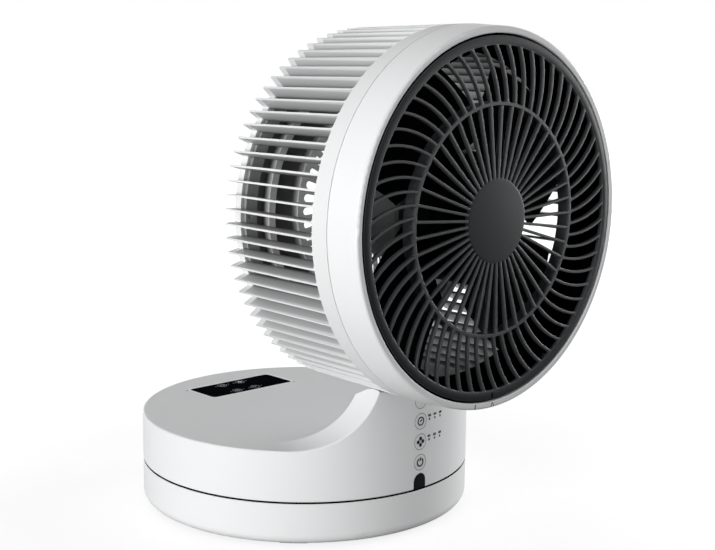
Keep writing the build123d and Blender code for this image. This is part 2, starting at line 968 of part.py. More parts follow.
with BuildPart() as pan_motor_screws:
    screws(
        downward(floor_top + pan_motor_ear_thickness),
        pan_ears,
        base_screw_head,
        base_screw_head_height,
        base_screw_shank,
        floor_thickness + pan_motor_ear_thickness,
    )
pan_motor_screws.part.label = "pan_motor_screws"
export_step(pan_motor_screws.part, "parts/pan_motor_screws.step")

pinion_bottom = lower_deck + running_gap
with BuildPart() as pan_pinion:
    with BuildSketch(Plane.XY.offset(pinion_bottom)):
        with Locations((pan_shaft_x, 0)):
            with BuildLine(mode=Mode.PRIVATE) as teeth_line:
                Polyline(*gear_points(pinion_teeth), close=True)
            add(make_face(teeth_line.line, mode=Mode.PRIVATE))
            Circle(pan_shaft_radius + shaft_clearance, mode=Mode.SUBTRACT)
    extrude(amount=pinion_width)
pan_pinion.part.label = "pan_pinion"
export_step(pan_pinion.part, "parts/pan_pinion.step")

with BuildPart() as pinion_shaft:
    posts(
        Plane.XY.offset(pinion_bottom),
        [(pan_shaft_x, 0)],
        pan_shaft_radius,
        floor_top + pan_shaft_depth - running_gap - pinion_bottom,
    )
pinion_shaft.part.label = "pinion_shaft"
export_step(pinion_shaft.part, "parts/pinion_shaft.step")

# ---- Control panel ----------------------------------------------------------------------
with BuildPart() as control_board:
    with BuildSketch(Plane.XZ.offset(-panel_board_front)):
        with BuildLine():
            Polyline(
                (panel_board_left, panel_board_bottom),
                (panel_board_right, panel_board_bottom),
                (panel_board_right, panel_board_shoulder - 2),
                (panel_board_neck, panel_board_shoulder - 2),
                (panel_board_neck, panel_board_top),
                (-panel_board_neck, panel_board_top),
                (-panel_board_neck, panel_board_shoulder - 2),
                (panel_board_left, panel_board_shoulder - 2),
                close=True,
            )
        make_face()
    extrude(amount=-panel_board_thickness)
control_board.part.label = "control_board"
export_step(control_board.part, "parts/control_board.step")

on_panel_board = Plane.XZ.offset(-panel_board_front)
with BuildPart() as tact_switches:
    for height in panel_button_heights.values():
        block(on_panel_board, switch_size, switch_size, switch_height, (0, height))
        posts(on_panel_board, [(0, height)], plunger_radius, switch_height + plunger_height)
tact_switches.part.label = "tact_switches"
export_step(tact_switches.part, "parts/tact_switches.step")

with BuildPart() as infrared_receiver:
    block(on_panel_board, receiver_size[0], receiver_size[2], receiver_size[1], (0, receiver_height))
infrared_receiver.part.label = "infrared_receiver"
export_step(infrared_receiver.part, "parts/infrared_receiver.step")

with BuildPart() as infrared_window:
    with BuildSketch(front_face):
        with Locations((0, arch_height)):
            Circle(window_width / 2)
        with Locations((0, (upper_rim_height + arch_height) / 2)):
            Rectangle(window_width, arch_height - upper_rim_height)
    extrude(amount=-(wall + 4))
    ring(
        Plane.XY.offset(upper_rim_height),
        base_radius - piece_gap,
        base_radius - piece_gap - window_thickness,
        window_height,
        mode=Mode.INTERSECT,
    )
infrared_window.part.label = "infrared_window"
export_step(infrared_window.part, "parts/infrared_window.step")

with BuildPart() as light_pipes:
    posts(
        on_panel_board,
        [(x, panel_button_heights[row]) for row in light_rows for x in light_xs],
        light_radius,
        base_radius + panel_board_front + 1,
    )
    ring(Plane.XY, base_radius, 0, column_block_height, mode=Mode.INTERSECT)
light_pipes.part.label = "light_pipes"
export_step(light_pipes.part, "parts/light_pipes.step")


def panel_button(height):
    """A round button whose face follows the curved wall, with ears and a stem behind."""
    ears = Plane.XZ.offset(base_radius - wall - piece_gap)
    stem = ears.offset(-button_ear_thickness)
    switch_tip = -panel_board_front + switch_height + plunger_height
    with BuildPart() as button:
        posts(ears, [(0, height)], button_radius, 2 * wall)
        ring(Plane.XY, base_radius, 0, column_block_height, mode=Mode.INTERSECT)
        block(ears, *button_ears, -button_ear_thickness, (0, height))
        stem_length = base_radius - wall - piece_gap - button_ear_thickness - switch_tip
        posts(stem, [(0, height)], button_stem_radius, -(stem_length - button_travel - 0.1))
    return button


for name, height in panel_button_heights.items():
    button = panel_button(height)
    button.part.label = name
    export_step(button.part, f"parts/{name}.step")

# ---- Tilt hinge: pins and washers in the column -----------------------------------------
with BuildPart() as tilt_pins:
    for side in (-1, 1):
        inner_end = Plane(origin=(side * cheek_inner, 0, 0), x_dir=(0, 1, 0), z_dir=(side, 0, 0))
        place = [(pivot_y, pivot_z * side)]
        posts(inner_end, place, pin_radius, cheek_outer - cheek_inner - piece_gap)
        posts(inner_end, place, pin_head_radius, -pin_head_length)
tilt_pins.part.label = "tilt_pins"
export_step(tilt_pins.part, "parts/tilt_pins.step")

with BuildPart() as friction_washers:
    for side in (-1, 1):
        face = Plane(origin=(side * arm_slot_inner, 0, 0), x_dir=(0, 1, 0), z_dir=(side, 0, 0))
        place = [(pivot_y, pivot_z * side)]
        posts(face, place, barrel_radius, washer_thickness)
        posts(face, place, pin_radius + shaft_clearance, washer_thickness, mode=Mode.SUBTRACT)
friction_washers.part.label = "friction_washers"
export_step(friction_washers.part, "parts/friction_washers.step")

# ---- Remote control ---------------------------------------------------------------------
remote_plane = Plane(origin=(*remote_centre, remote_bottom))
case_bottom = remote_plane.offset(remote_wall)
case_height = remote_thickness - remote_wall
cell_bottom = remote_wall + piece_gap
board_bottom = remote_wall + remote_rib_height
board_face = board_bottom + remote_board_thickness
with BuildPart() as remote_case:
    block(case_bottom, remote_length, remote_width, case_height, corner=remote_corner)
    fillet(remote_case.edges().group_by(Axis.Z)[-1], 0.3)
    block(
        case_bottom,
        remote_length - 2 * remote_wall,
        remote_width - 2 * remote_wall,
        case_height - remote_wall,
        corner=remote_corner - remote_wall,
        mode=Mode.SUBTRACT,
    )
    posts(case_bottom, key_places, key_radius + key_gap, case_height, mode=Mode.SUBTRACT)
    block(
        case_bottom,
        2 * remote_wall + 1,
        tray_plug + 2 * piece_gap,
        tray_height + piece_gap,
        (remote_length / 2, 0),
        mode=Mode.SUBTRACT,
    )
remote_case.part.label = "remote_case"
export_step(remote_case.part, "parts/remote_case.step")

with BuildPart() as remote_back:
    block(remote_plane, remote_length, remote_width, remote_wall, corner=remote_corner)
    for end in (-1, 1):
        block(
            case_bottom,
            remote_wall,
            remote_board_size[1] - 4,
            remote_rib_height,
            (remote_board_centre[0] + end * (remote_board_size[0] / 2 - 2), 0),
        )
remote_back.part.label = "remote_back"
export_step(remote_back.part, "parts/remote_back.step")

with BuildPart() as remote_board:
    block(
        remote_plane.offset(board_bottom),
        *remote_board_size,
        remote_board_thickness,
        remote_board_centre,
    )
    posts(remote_plane.offset(board_face), key_places, dome_radius, dome_height)
remote_board.part.label = "remote_board"
export_step(remote_board.part, "parts/remote_board.step")

with BuildPart() as battery_tray:
    tray_length = remote_length / 2 - cell_x
    outer = cell_radius + piece_gap + tray_wall
    tray_bottom = remote_plane.offset(cell_bottom)
    posts(tray_bottom, [(cell_x, 0)], outer, tray_height - piece_gap)
    block(
        tray_bottom,
        tray_length,
        tray_plug,
        tray_height - piece_gap,
        (cell_x + tray_length / 2, 0),
    )
    posts(
        tray_bottom,
        [(cell_x, 0)],
        cell_radius + piece_gap,
        tray_height,
        mode=Mode.SUBTRACT,
    )
battery_tray.part.label = "battery_tray"
export_step(battery_tray.part, "parts/battery_tray.step")

with BuildPart() as coin_cell:
    posts(remote_plane.offset(cell_bottom), [(cell_x, 0)], cell_radius, cell_thickness)
    fillet(coin_cell.edges().group_by(Axis.Z)[-1], 0.4)
coin_cell.part.label = "coin_cell"
export_step(coin_cell.part, "parts/coin_cell.step")

for name, place in zip(key_names, key_places):
    with BuildPart() as key:
        flange_top = remote_thickness - remote_wall - running_gap
        flange_bottom = flange_top - key_flange_thickness
        posts(remote_plane.offset(flange_bottom), [place], key_flange, key_flange_thickness)
        posts(remote_plane.offset(flange_top), [place], key_radius, remote_wall + piece_gap)
        posts(remote_plane.offset(flange_bottom), [place], key_plunger, -key_plunger_length)
    key.part.label = name
    export_step(key.part, f"parts/{name}.step")

# ---- Head casing ------------------------------------------------------------------------
tongue_radius = bezel_inner + tongue_thickness
with BuildPart() as head_bezel:
    with BuildSketch(Plane.YZ):
        with BuildLine():
            face_round = CenterArc(
                (
                    head_front + bezel_face_round,
                    head_height + bezel_front_radius - bezel_face_round,
                ),
                bezel_face_round,
                90,
                90,
            )
            Polyline(
                face_round @ 0,
                (head_front + bezel_depth, head_height + bezel_rear_radius),
                (head_front + bezel_depth, head_height + tongue_radius),
                (head_front + bezel_depth + tongue_length, head_height + tongue_radius),
                (head_front + bezel_depth + tongue_length, head_height + bezel_inner),
                (head_front + bezel_lip_depth, head_height + bezel_inner),
                (head_front + bezel_lip_depth, head_height + bezel_lip_radius),
                (head_front + edge_break, head_height + bezel_lip_radius),
                (head_front, head_height + bezel_lip_radius + edge_break),
                face_round @ 1,
            )
        make_face()
    revolve(axis=head_axis)
head_bezel.part.label = "head_bezel"
export_step(head_bezel.part, "parts/head_bezel.step")

head_screw_places = around(head_boss_circle, head_screw_count)
hook_angles = [hook_start + 360 * step / hook_count for step in range(hook_count)]
with BuildPart() as air_duct:
    head_turned(
        [
            (bezel_lip_depth, duct_inner + 1.5),
            (bezel_lip_depth, bezel_inner - running_gap),
            (duct_flange_back, bezel_inner - running_gap),
            (duct_flange_back, duct_outer),
            (duct_end, duct_outer),
            (duct_end, duct_inner),
            (bezel_lip_depth + 1.5, duct_inner),
        ]
    )
    posts(
        head_plane(bezel_lip_depth),
        head_screw_places,
        head_screw_shank + shaft_clearance,
        -duct_flange,
        mode=Mode.SUBTRACT,
    )
    # keyhole slots that the grille's hooks enter and turn in
    for angle in hook_angles:
        sector(
            head_plane(bezel_lip_depth),
            hook_outer + hook_gap,
            hook_inner - hook_gap,
            angle - grille_twist - hook_leg_angle / 2 - 1,
            angle + hook_leg_angle / 2 + 1,
            -duct_flange,
            mode=Mode.SUBTRACT,
        )
air_duct.part.label = "air_duct"
export_step(air_duct.part, "parts/air_duct.step")

with BuildPart() as duct_screws:
    screws(
        rearward(bezel_lip_depth),
        head_screw_places,
        head_screw_head,
        head_screw_head_height,
        head_screw_shank,
        head_screw_length,
    )
duct_screws.part.label = "duct_screws"
export_step(duct_screws.part, "parts/duct_screws.step")

slot_reach = bezel_rear_radius + 2
slot_depth = slot_reach - fin_inner + 3
slot_width = 2 * pi * slot_reach / fin_count - fin_thickness
slot_taper = degrees(pi / fin_count)
slot_length = head_depth - band_end + 5
with BuildPart() as fin_slot:
    slot_plane = Plane(
        origin=(0, head_front + band_end, head_height + slot_reach),
        x_dir=(0, 1, 0),
        z_dir=(0, 0, -1),
    )
    with BuildSketch(slot_plane) as slot_outline:
        with Locations((slot_length / 2, 0)):
            Rectangle(slot_length, slot_width)
        fillet(slot_outline.vertices().group_by(Axis.Y)[0], fin_slot_round)
    extrude(amount=slot_depth, taper=slot_taper)

saddle_middle = 270.0
first_gap = fin_pitch / 2 + 90  # brings a fin to the head's left side
with BuildPart() as fin_cage:
    head_turned(
        [
            (band_start, tongue_radius + running_gap),
            (band_start, bezel_rear_radius),
            (head_depth, tail_radius),
            (head_depth, fin_inner),
            (band_end, fin_inner),
            (band_end, duct_outer + running_gap),
            (band_end - band_flange, duct_outer + running_gap),
            (band_end - band_flange, bezel_inner),
            (bezel_depth + tongue_length + head_seam, bezel_inner),
            (bezel_depth + tongue_length + head_seam, tongue_radius + running_gap),
        ]
    )
    add(
        [fin_slot.part.rotate(head_axis, first_gap + fin_pitch * step) for step in range(fin_count)],
        mode=Mode.SUBTRACT,
    )
    # room for the tilt bracket's saddle between the lowest fins
    sector(
        head_plane(head_depth + 1),
        bezel_rear_radius + 2,
        fin_inner - 1,
        saddle_middle - saddle_half_angle - 0.3,
        saddle_middle + saddle_half_angle + 0.3,
        head_depth + 1 - band_end,
        mode=Mode.SUBTRACT,
    )
    ring(head_plane(head_depth), tail_ring_outer, tail_ring_inner, tail_ring_depth)
    posts(
        head_plane(band_end),
        head_screw_places,
        head_boss_radius,
        band_end - duct_flange_back - piece_gap,
    )
    posts(
        head_plane(duct_flange_back + head_screw_length),
        head_screw_places,
        head_screw_shank + shaft_clearance,
        head_screw_length,
        mode=Mode.SUBTRACT,
    )
    cover_screw_places = around(cover_screw_circle, cover_screw_count, cover_screw_start)
    posts(
        head_plane(head_depth),
        cover_screw_places,
        cover_screw_head + piece_gap / 2,
        cover_screw_head_height,
        mode=Mode.SUBTRACT,
    )
    posts(
        head_plane(head_depth),
        cover_screw_places,
        cover_screw_shank + shaft_clearance,
        tail_ring_depth,
        mode=Mode.SUBTRACT,
    )
    bracket_screw_places = [
        (
            bracket_screw_circle * cos(radians(saddle_middle + angle)),
            bracket_screw_circle * sin(radians(saddle_middle + angle)),
        )
        for angle in bracket_screw_angles
    ]
    posts(
        head_plane(band_end),
        bracket_screw_places,
        bracket_screw_shank + shaft_clearance,
        band_flange,
        mode=Mode.SUBTRACT,
    )
fin_cage.part.label = "fin_cage"
export_step(fin_cage.part, "parts/fin_cage.step")

# ---- Rear cover -------------------------------------------------------------------------
with BuildPart() as rear_cover:
    cover_radius = tail_ring_inner - running_gap
    cover_front = cover_back - cover_thickness
    disc_front = cover_back - cover_disc_rise
    cover_rib_outer, cover_rib_inner, disc_radius, dish_radius = cover_radii
    head_turned(
        [
            (cover_flange_front, cover_flange_radius),
            (cover_flange_front, cover_radius - cover_thickness),
            (cover_front, cover_radius - cover_thickness),
            (cover_front, cover_rib_outer),
            (disc_front, cover_rib_outer),
            (disc_front, cover_rib_inner),
            (cover_front, cover_rib_inner),
            (cover_front, disc_radius),
            (disc_front, disc_radius),
            (disc_front, dish_radius),
            (cover_dish_front, dish_radius),
            (cover_dish_front, 0.0),
            (cover_dish_back, 0.0),
            (cover_dish_back, dish_radius + cover_disc_wall),
            (disc_front + cover_disc_wall, dish_radius + cover_disc_wall),
            (disc_front + cover_disc_wall, disc_radius - cover_disc_wall),
            (cover_back, disc_radius - cover_disc_wall),
            (cover_back, cover_radius),
            (cover_flange_front + cover_flange_thickness, cover_radius),
            (cover_flange_front + cover_flange_thickness, cover_flange_radius),
        ]
    )
    with BuildSketch(head_plane(head_depth)):
        with PolarLocations(0, slot_count):
            with BuildLine(mode=Mode.PRIVATE) as slot_sides:
                Polyline(
                    (slot_inner_radius, -slot_half_inner),
                    (slot_outer_radius, -slot_half_outer),
                    (slot_outer_radius, slot_half_outer),
                    (slot_inner_radius, slot_half_inner),
                    close=True,
                )
            add(make_face(slot_sides.line, mode=Mode.PRIVATE))
        with PolarLocations(slot_outer_radius, slot_count):
            Circle(slot_half_outer)
        with PolarLocations(slot_inner_radius, slot_count):
            Circle(slot_half_inner)
    extrude(amount=head_depth - disc_front + 2, mode=Mode.SUBTRACT)
    motor_post_places = around(motor_post_circle, motor_post_count, 45)
    posts(
        head_plane(cover_dish_back),
        motor_post_places,
        motor_post_radius,
        cover_dish_back - motor_back,
    )
    posts(
        head_plane(cover_dish_back),
        motor_post_places,
        motor_screw_shank + shaft_clearance,
        cover_dish_back - motor_back,
        mode=Mode.SUBTRACT,
    )
    posts(
        head_plane(cover_dish_back),
        motor_post_places,
        motor_screw_head + piece_gap / 2,
        motor_screw_head_height,
        mode=Mode.SUBTRACT,
    )
    posts(
        head_plane(cover_flange_front + cover_flange_thickness),
        cover_screw_places,
        cover_screw_shank + shaft_clearance,
        cover_flange_thickness,
        mode=Mode.SUBTRACT,
    )
rear_cover.part.label = "rear_cover"
export_step(rear_cover.part, "parts/rear_cover.step")

with BuildPart() as cover_screws:
    screws(
        head_plane(head_depth - cover_screw_head_height),
        cover_screw_places,
        cover_screw_head,
        cover_screw_head_height,
        cover_screw_shank,
        cover_screw_length,
    )
cover_screws.part.label = "cover_screws"
export_step(cover_screws.part, "parts/cover_screws.step")

# ---- Tilt bracket -----------------------------------------------------------------------
with BuildPart() as tilt_bracket:
    saddle_first = saddle_middle - saddle_half_angle
    saddle_last = saddle_middle + saddle_half_angle
    saddle_end = head_depth - tail_ring_depth - piece_gap
    saddle_length = saddle_end - band_end
    sector(
        head_plane(saddle_end),
        saddle_radius,
        saddle_inner,
        saddle_first,
        saddle_last,
        saddle_length,
    )
    sector(
        head_plane(saddle_end - saddle_wall),
        saddle_radius - saddle_plate,
        saddle_inner - 1,
        saddle_first + 1.5,
        saddle_last - 1.5,
        saddle_length - 2 * saddle_wall,
        mode=Mode.SUBTRACT,
    )
    sector(
        head_plane(head_depth),
        saddle_radius - 0.4,
        tail_ring_outer + piece_gap,
        saddle_first,
        saddle_last,
        head_depth - saddle_end,
    )
    for side in (-1, 1):
        arm_plane = Plane.YZ.offset(side * (arm_inner + arm_outer) / 2)
        neck_top = head_height - sqrt(saddle_radius**2 - arm_outer**2) + 2.0
        with BuildSketch(arm_plane) as arm_outline:
            with Locations((pivot_y, pivot_z)):
                Circle(barrel_radius)
            with BuildLine():
                Polyline(
                    (pivot_y - barrel_radius, pivot_z),
                    (pivot_y + barrel_radius, pivot_z),
                    (pivot_y + barrel_radius + 5, neck_top),
                    (pivot_y - barrel_radius, neck_top),
                    close=True,
                )
            make_face()
        extrude(arm_outline.sketch, amount=(arm_outer - arm_inner) / 2, both=True)
    posts(
        Plane.YZ.offset(-arm_outer),
        [(pivot_y, pivot_z)],
        pin_radius + shaft_clearance,
        2 * arm_outer,
        mode=Mode.SUBTRACT,
    )
    posts(
        head_plane(band_end + bracket_screw_length),
        bracket_screw_places,
        bracket_screw_shank + shaft_clearance,
        bracket_screw_length,
        mode=Mode.SUBTRACT,
    )
tilt_bracket.part.label = "tilt_bracket"
export_step(tilt_bracket.part, "parts/tilt_bracket.step")

with BuildPart() as bracket_screws:
    screws(
        rearward(band_end - band_flange),
        [(x, -z) for x, z in bracket_screw_places],
        2.3,
        1.4,
        bracket_screw_shank,
        bracket_screw_length,
    )
bracket_screws.part.label = "bracket_screws"
export_step(bracket_screws.part, "parts/bracket_screws.step")

# ---- Motor ------------------------------------------------------------------------------
with BuildPart() as motor_front_cap:
    cup = motor_front + motor_end_wall
    head_turned(
        [
            (motor_front, motor_shaft_radius + 1),
            (motor_front, motor_radius - 2),
            (motor_front + 2, motor_radius),
            (motor_split - piece_gap / 2, motor_radius),
            (motor_split - piece_gap / 2, motor_radius - motor_wall),
            (cup, motor_radius - motor_wall),
            (cup, bearing_cup),
            (cup + bearing_width, bearing_cup),
            (cup + bearing_width, bearing_outer + shaft_clearance),
            (cup, bearing_outer + shaft_clearance),
            (cup, motor_shaft_radius + 1),
        ]
    )
motor_front_cap.part.label = "motor_front_cap"
export_step(motor_front_cap.part, "parts/motor_front_cap.step")

with BuildPart() as motor_rear_cap:
    cup = motor_back - motor_end_wall
    head_turned(
        [
            (motor_back, 0),
            (motor_back, motor_radius - 2),
            (motor_back - 2, motor_radius),
            (motor_split + piece_gap / 2, motor_radius),
            (motor_split + piece_gap / 2, motor_radius - motor_wall),
            (cup, motor_radius - motor_wall),
            (cup, bearing_cup),
            (cup - bearing_width, bearing_cup),
            (cup - bearing_width, bearing_outer + shaft_clearance),
            (cup, bearing_outer + shaft_clearance),
            (cup, 0),
        ]
    )
    posts(
        head_plane(motor_back),
        motor_post_places,
        motor_screw_shank + shaft_clearance,
        motor_end_wall,
        mode=Mode.SUBTRACT,
    )
motor_rear_cap.part.label = "motor_rear_cap"
export_step(motor_rear_cap.part, "parts/motor_rear_cap.step")

with BuildPart() as motor_screws:
    screws(
        head_plane(cover_dish_back - motor_screw_head_height),
        motor_post_places,
        motor_screw_head,
        motor_screw_head_height,
        motor_screw_shank,
        cover_dish_back - motor_screw_head_height - motor_screw_tip,
    )
motor_screws.part.label = "motor_screws"
export_step(motor_screws.part, "parts/motor_screws.step")

with BuildPart() as stator:
    length = stator_end - stator_start
    ring(
        head_plane(stator_end),
        motor_radius - motor_wall - shaft_clearance,
        rotor_radius + air_gap,
        length,
    )
    slot_angle = 360 / stator_teeth
    for tooth in range(stator_teeth):
        sector(
            head_plane(stator_end),
            motor_radius - motor_wall - 2.2,
            rotor_radius + air_gap + 1.5,
            tooth * slot_angle - 0.32 * slot_angle,
            tooth * slot_angle + 0.32 * slot_angle,
            length,
            mode=Mode.SUBTRACT,
        )
stator.part.label = "stator"
export_step(stator.part, "parts/stator.step")

with BuildPart() as motor_bearings:
    for start in (motor_front + motor_end_wall, motor_back - motor_end_wall - bearing_width):
        ring(
            head_plane(start + bearing_width),
            bearing_outer,
            motor_shaft_radius + shaft_clearance,
            bearing_width,
        )
motor_bearings.part.label = "motor_bearings"
export_step(motor_bearings.part, "parts/motor_bearings.step")

with BuildPart() as motor_shaft:
    shaft_end = motor_back - motor_end_wall - running_gap
    ring(head_plane(shaft_end), motor_shaft_radius, 0, shaft_end - motor_shaft_start)
    chamfer(motor_shaft.edges().filter_by(GeomType.CIRCLE), 0.4)
motor_shaft.part.label = "motor_shaft"
export_step(motor_shaft.part, "parts/motor_shaft.step")

with BuildPart() as rotor:
    ring(
        head_plane(stator_end),
        rotor_radius,
        motor_shaft_radius + shaft_clearance,
        stator_end - stator_start,
    )
rotor.part.label = "rotor"
export_step(rotor.part, "parts/rotor.step")


# ---- Impeller ---------------------------------------------------------------------------
def blade_section(radius):
    """Outline of the first blade's section, square to its span at a radius."""
    share = (radius - impeller_hub) / (impeller_radius - impeller_hub)
    chord = blade_root_chord + (blade_tip_chord - blade_root_chord) * share
    pitch = radians(blade_root_pitch + (blade_tip_pitch - blade_root_pitch) * share)
    turn = radians(blade_sweep * share)
    section_plane = Plane(
        origin=(
            radius * cos(turn),
            head_front + impeller_front + impeller_depth / 2,
            head_height + radius * sin(turn),
        ),
        x_dir=(-sin(turn) * cos(pitch), sin(pitch), cos(turn) * cos(pitch)),
        z_dir=(-cos(turn), 0, -sin(turn)),
    )
    with BuildSketch(section_plane) as section:
        with BuildLine():
            for side in (-1, 1):
                ThreePointArc(
                    (-chord / 2, side * blade_edge / 2),
                    (0, blade_camber * chord + side * blade_thickness / 2),
                    (chord / 2, side * blade_edge / 2),
                )
            Line((-chord / 2, -blade_edge / 2), (-chord / 2, blade_edge / 2))
            Line((chord / 2, -blade_edge / 2), (chord / 2, blade_edge / 2))
        make_face()
    return section.sketch


blade_spans = (impeller_hub - 3, (impeller_hub + impeller_radius) / 2, impeller_radius + 1)
with BuildPart() as blade_form:
    loft([blade_section(radius) for radius in blade_spans])

with BuildPart() as impeller:
    add(
        [
            blade_form.part.rotate(head_axis, -(blade_phase + 360 * step / blade_count))
            for step in range(blade_count)
        ]
    )
    # the blades end on the hub's wall and on the tip circle
    impeller_back = impeller_front + impeller_depth
    ring(
        head_plane(impeller_back + impeller_depth),
        impeller_radius,
        impeller_hub - impeller_hub_wall / 2,
        3 * impeller_depth,
        mode=Mode.INTERSECT,
    )
    head_turned(
        [
            (impeller_front, motor_shaft_radius + shaft_clearance),
            (impeller_front, impeller_hub - impeller_nose_round),
            (impeller_front + 2, impeller_hub - 2),
            (impeller_front + impeller_nose_round, impeller_hub),
            (impeller_back, impeller_hub),
            (impeller_back, impeller_hub - impeller_hub_wall),
            (impeller_front + impeller_hub_wall + 3, impeller_hub - impeller_hub_wall),
            (impeller_front + impeller_hub_wall, impeller_hub - impeller_nose_round),
            (impeller_front + impeller_hub_wall, impeller_boss),
            (impeller_back, impeller_boss),
            (impeller_back, motor_shaft_radius + shaft_clearance),
        ]
    )
impeller.part.label = "impeller"
export_step(impeller.part, "parts/impeller.step")

with BuildPart() as impeller_nut:
    ring(
        head_plane(impeller_front),
        nut_radius,
        motor_shaft_radius + shaft_clearance,
        impeller_front - nut_start,
    )
    posts(
        head_plane(impeller_front),
        around(nut_radius, nut_flutes),
        nut_flute_radius,
        impeller_front - nut_start,
        mode=Mode.SUBTRACT,
    )
impeller_nut.part.label = "impeller_nut"
export_step(impeller_nut.part, "parts/impeller_nut.step")


# ---- Front grille -----------------------------------------------------------------------
def polar(radius, angle):
    return (radius * cos(radians(angle)), radius * sin(radians(angle)))


with BuildSketch() as outer_spoke:
    with BuildLine() as spoke_line:
        swirl_start = (grille_ring_inner + grille_ring_outer) / 2
        swirl_end = grille_rim_inner + 0.5
        swirl_radii = (swirl_start, (swirl_start + swirl_end) / 2, swirl_end)
        ThreePointArc(*[polar(*place) for place in zip(swirl_radii, swirl_angles)])
    trace(line_width=spoke_width)

with BuildPart() as front_grille:
    with BuildSketch(head_plane(grille_back)):
        Circle(grille_ring_outer)
        Circle(grille_ring_inner, mode=Mode.SUBTRACT)
        spoke_start = hub_disc_radius - 2
        spoke_end = (grille_ring_inner + grille_ring_outer) / 2
        with PolarLocations((spoke_start + spoke_end) / 2, inner_spokes):
            Rectangle(spoke_end - spoke_start, spoke_width)
        Circle(hub_disc_radius)
        with PolarLocations(0, outer_spokes):
            add(outer_spoke.sketch)
    extrude(amount=grille_thickness)
    ring(head_plane(grille_back), grille_radius, grille_rim_inner, grille_thickness)
front_grille.part.label = "front_grille"
export_step(front_grille.part, "parts/front_grille.step")

with BuildPart() as grille_ring:
    ring(
        head_plane(grille_recess + grille_ring_depth),
        grille_ring_outer,
        grille_ring_inner,
        grille_recess + grille_ring_depth - grille_back,
    )
grille_ring.part.label = "grille_ring"
export_step(grille_ring.part, "parts/grille_ring.step")

with BuildPart() as grille_hooks:
    rim_back = bezel_lip_depth - piece_gap / 2
    ring(
        head_plane(rim_back),
        grille_radius,
        grille_radius - grille_skirt,
        rim_back - grille_back,
    )
    foot_back = duct_flange_back + running_gap + hook_foot_thickness
    for angle in hook_angles:
        first = angle - hook_leg_angle / 2
        leg_end = angle + hook_leg_angle / 2
        sector(head_plane(foot_back), hook_outer, hook_inner, first, leg_end, foot_back - grille_back)
        sector(
            head_plane(foot_back),
            hook_outer,
            hook_inner,
            first,
            leg_end + hook_foot_angle,
            hook_foot_thickness,
        )
grille_hooks.part.label = "grille_hooks"
export_step(grille_hooks.part, "parts/grille_hooks.step")
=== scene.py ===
import json
from math import atan2, cos, hypot, pi, radians, sin

import bmesh
import bpy
from mathutils import Matrix, Vector


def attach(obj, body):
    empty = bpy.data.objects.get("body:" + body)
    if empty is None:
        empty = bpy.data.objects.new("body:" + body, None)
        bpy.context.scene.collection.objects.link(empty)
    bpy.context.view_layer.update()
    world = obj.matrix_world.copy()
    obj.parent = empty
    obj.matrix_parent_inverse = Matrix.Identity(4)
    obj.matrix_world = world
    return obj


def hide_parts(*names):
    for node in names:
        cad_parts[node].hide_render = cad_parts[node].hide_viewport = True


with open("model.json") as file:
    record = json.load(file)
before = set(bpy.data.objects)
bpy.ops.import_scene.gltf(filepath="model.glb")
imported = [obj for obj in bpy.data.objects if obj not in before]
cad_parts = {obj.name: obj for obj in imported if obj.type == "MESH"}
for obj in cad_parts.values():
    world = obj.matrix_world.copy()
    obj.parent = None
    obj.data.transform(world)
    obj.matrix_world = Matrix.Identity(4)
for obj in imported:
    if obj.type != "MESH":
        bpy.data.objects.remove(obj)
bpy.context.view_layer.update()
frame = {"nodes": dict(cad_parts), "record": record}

MM = 0.001
HEAD_FRONT = -0.1834  # front edge of the bezel
HEAD_HEIGHT = 0.2232  # the head's axis above the floor
BASE_RADIUS = 0.120
DECK = 0.067  # the deck's height above the floor
# sizes of the head in millimetres: depths behind its front edge and radii about its axis
SEAM_FLOOR, SEAM_TOP = 121.25, 121.9
BEZEL_DEPTH, BAND_END, TAIL_RING, HEAD_DEPTH = 23.9, 37.5, 117.5, 123.1
FIN_INNER, FIN_OUTER = 109.8, 121.6
COVER_DISC = 112.0


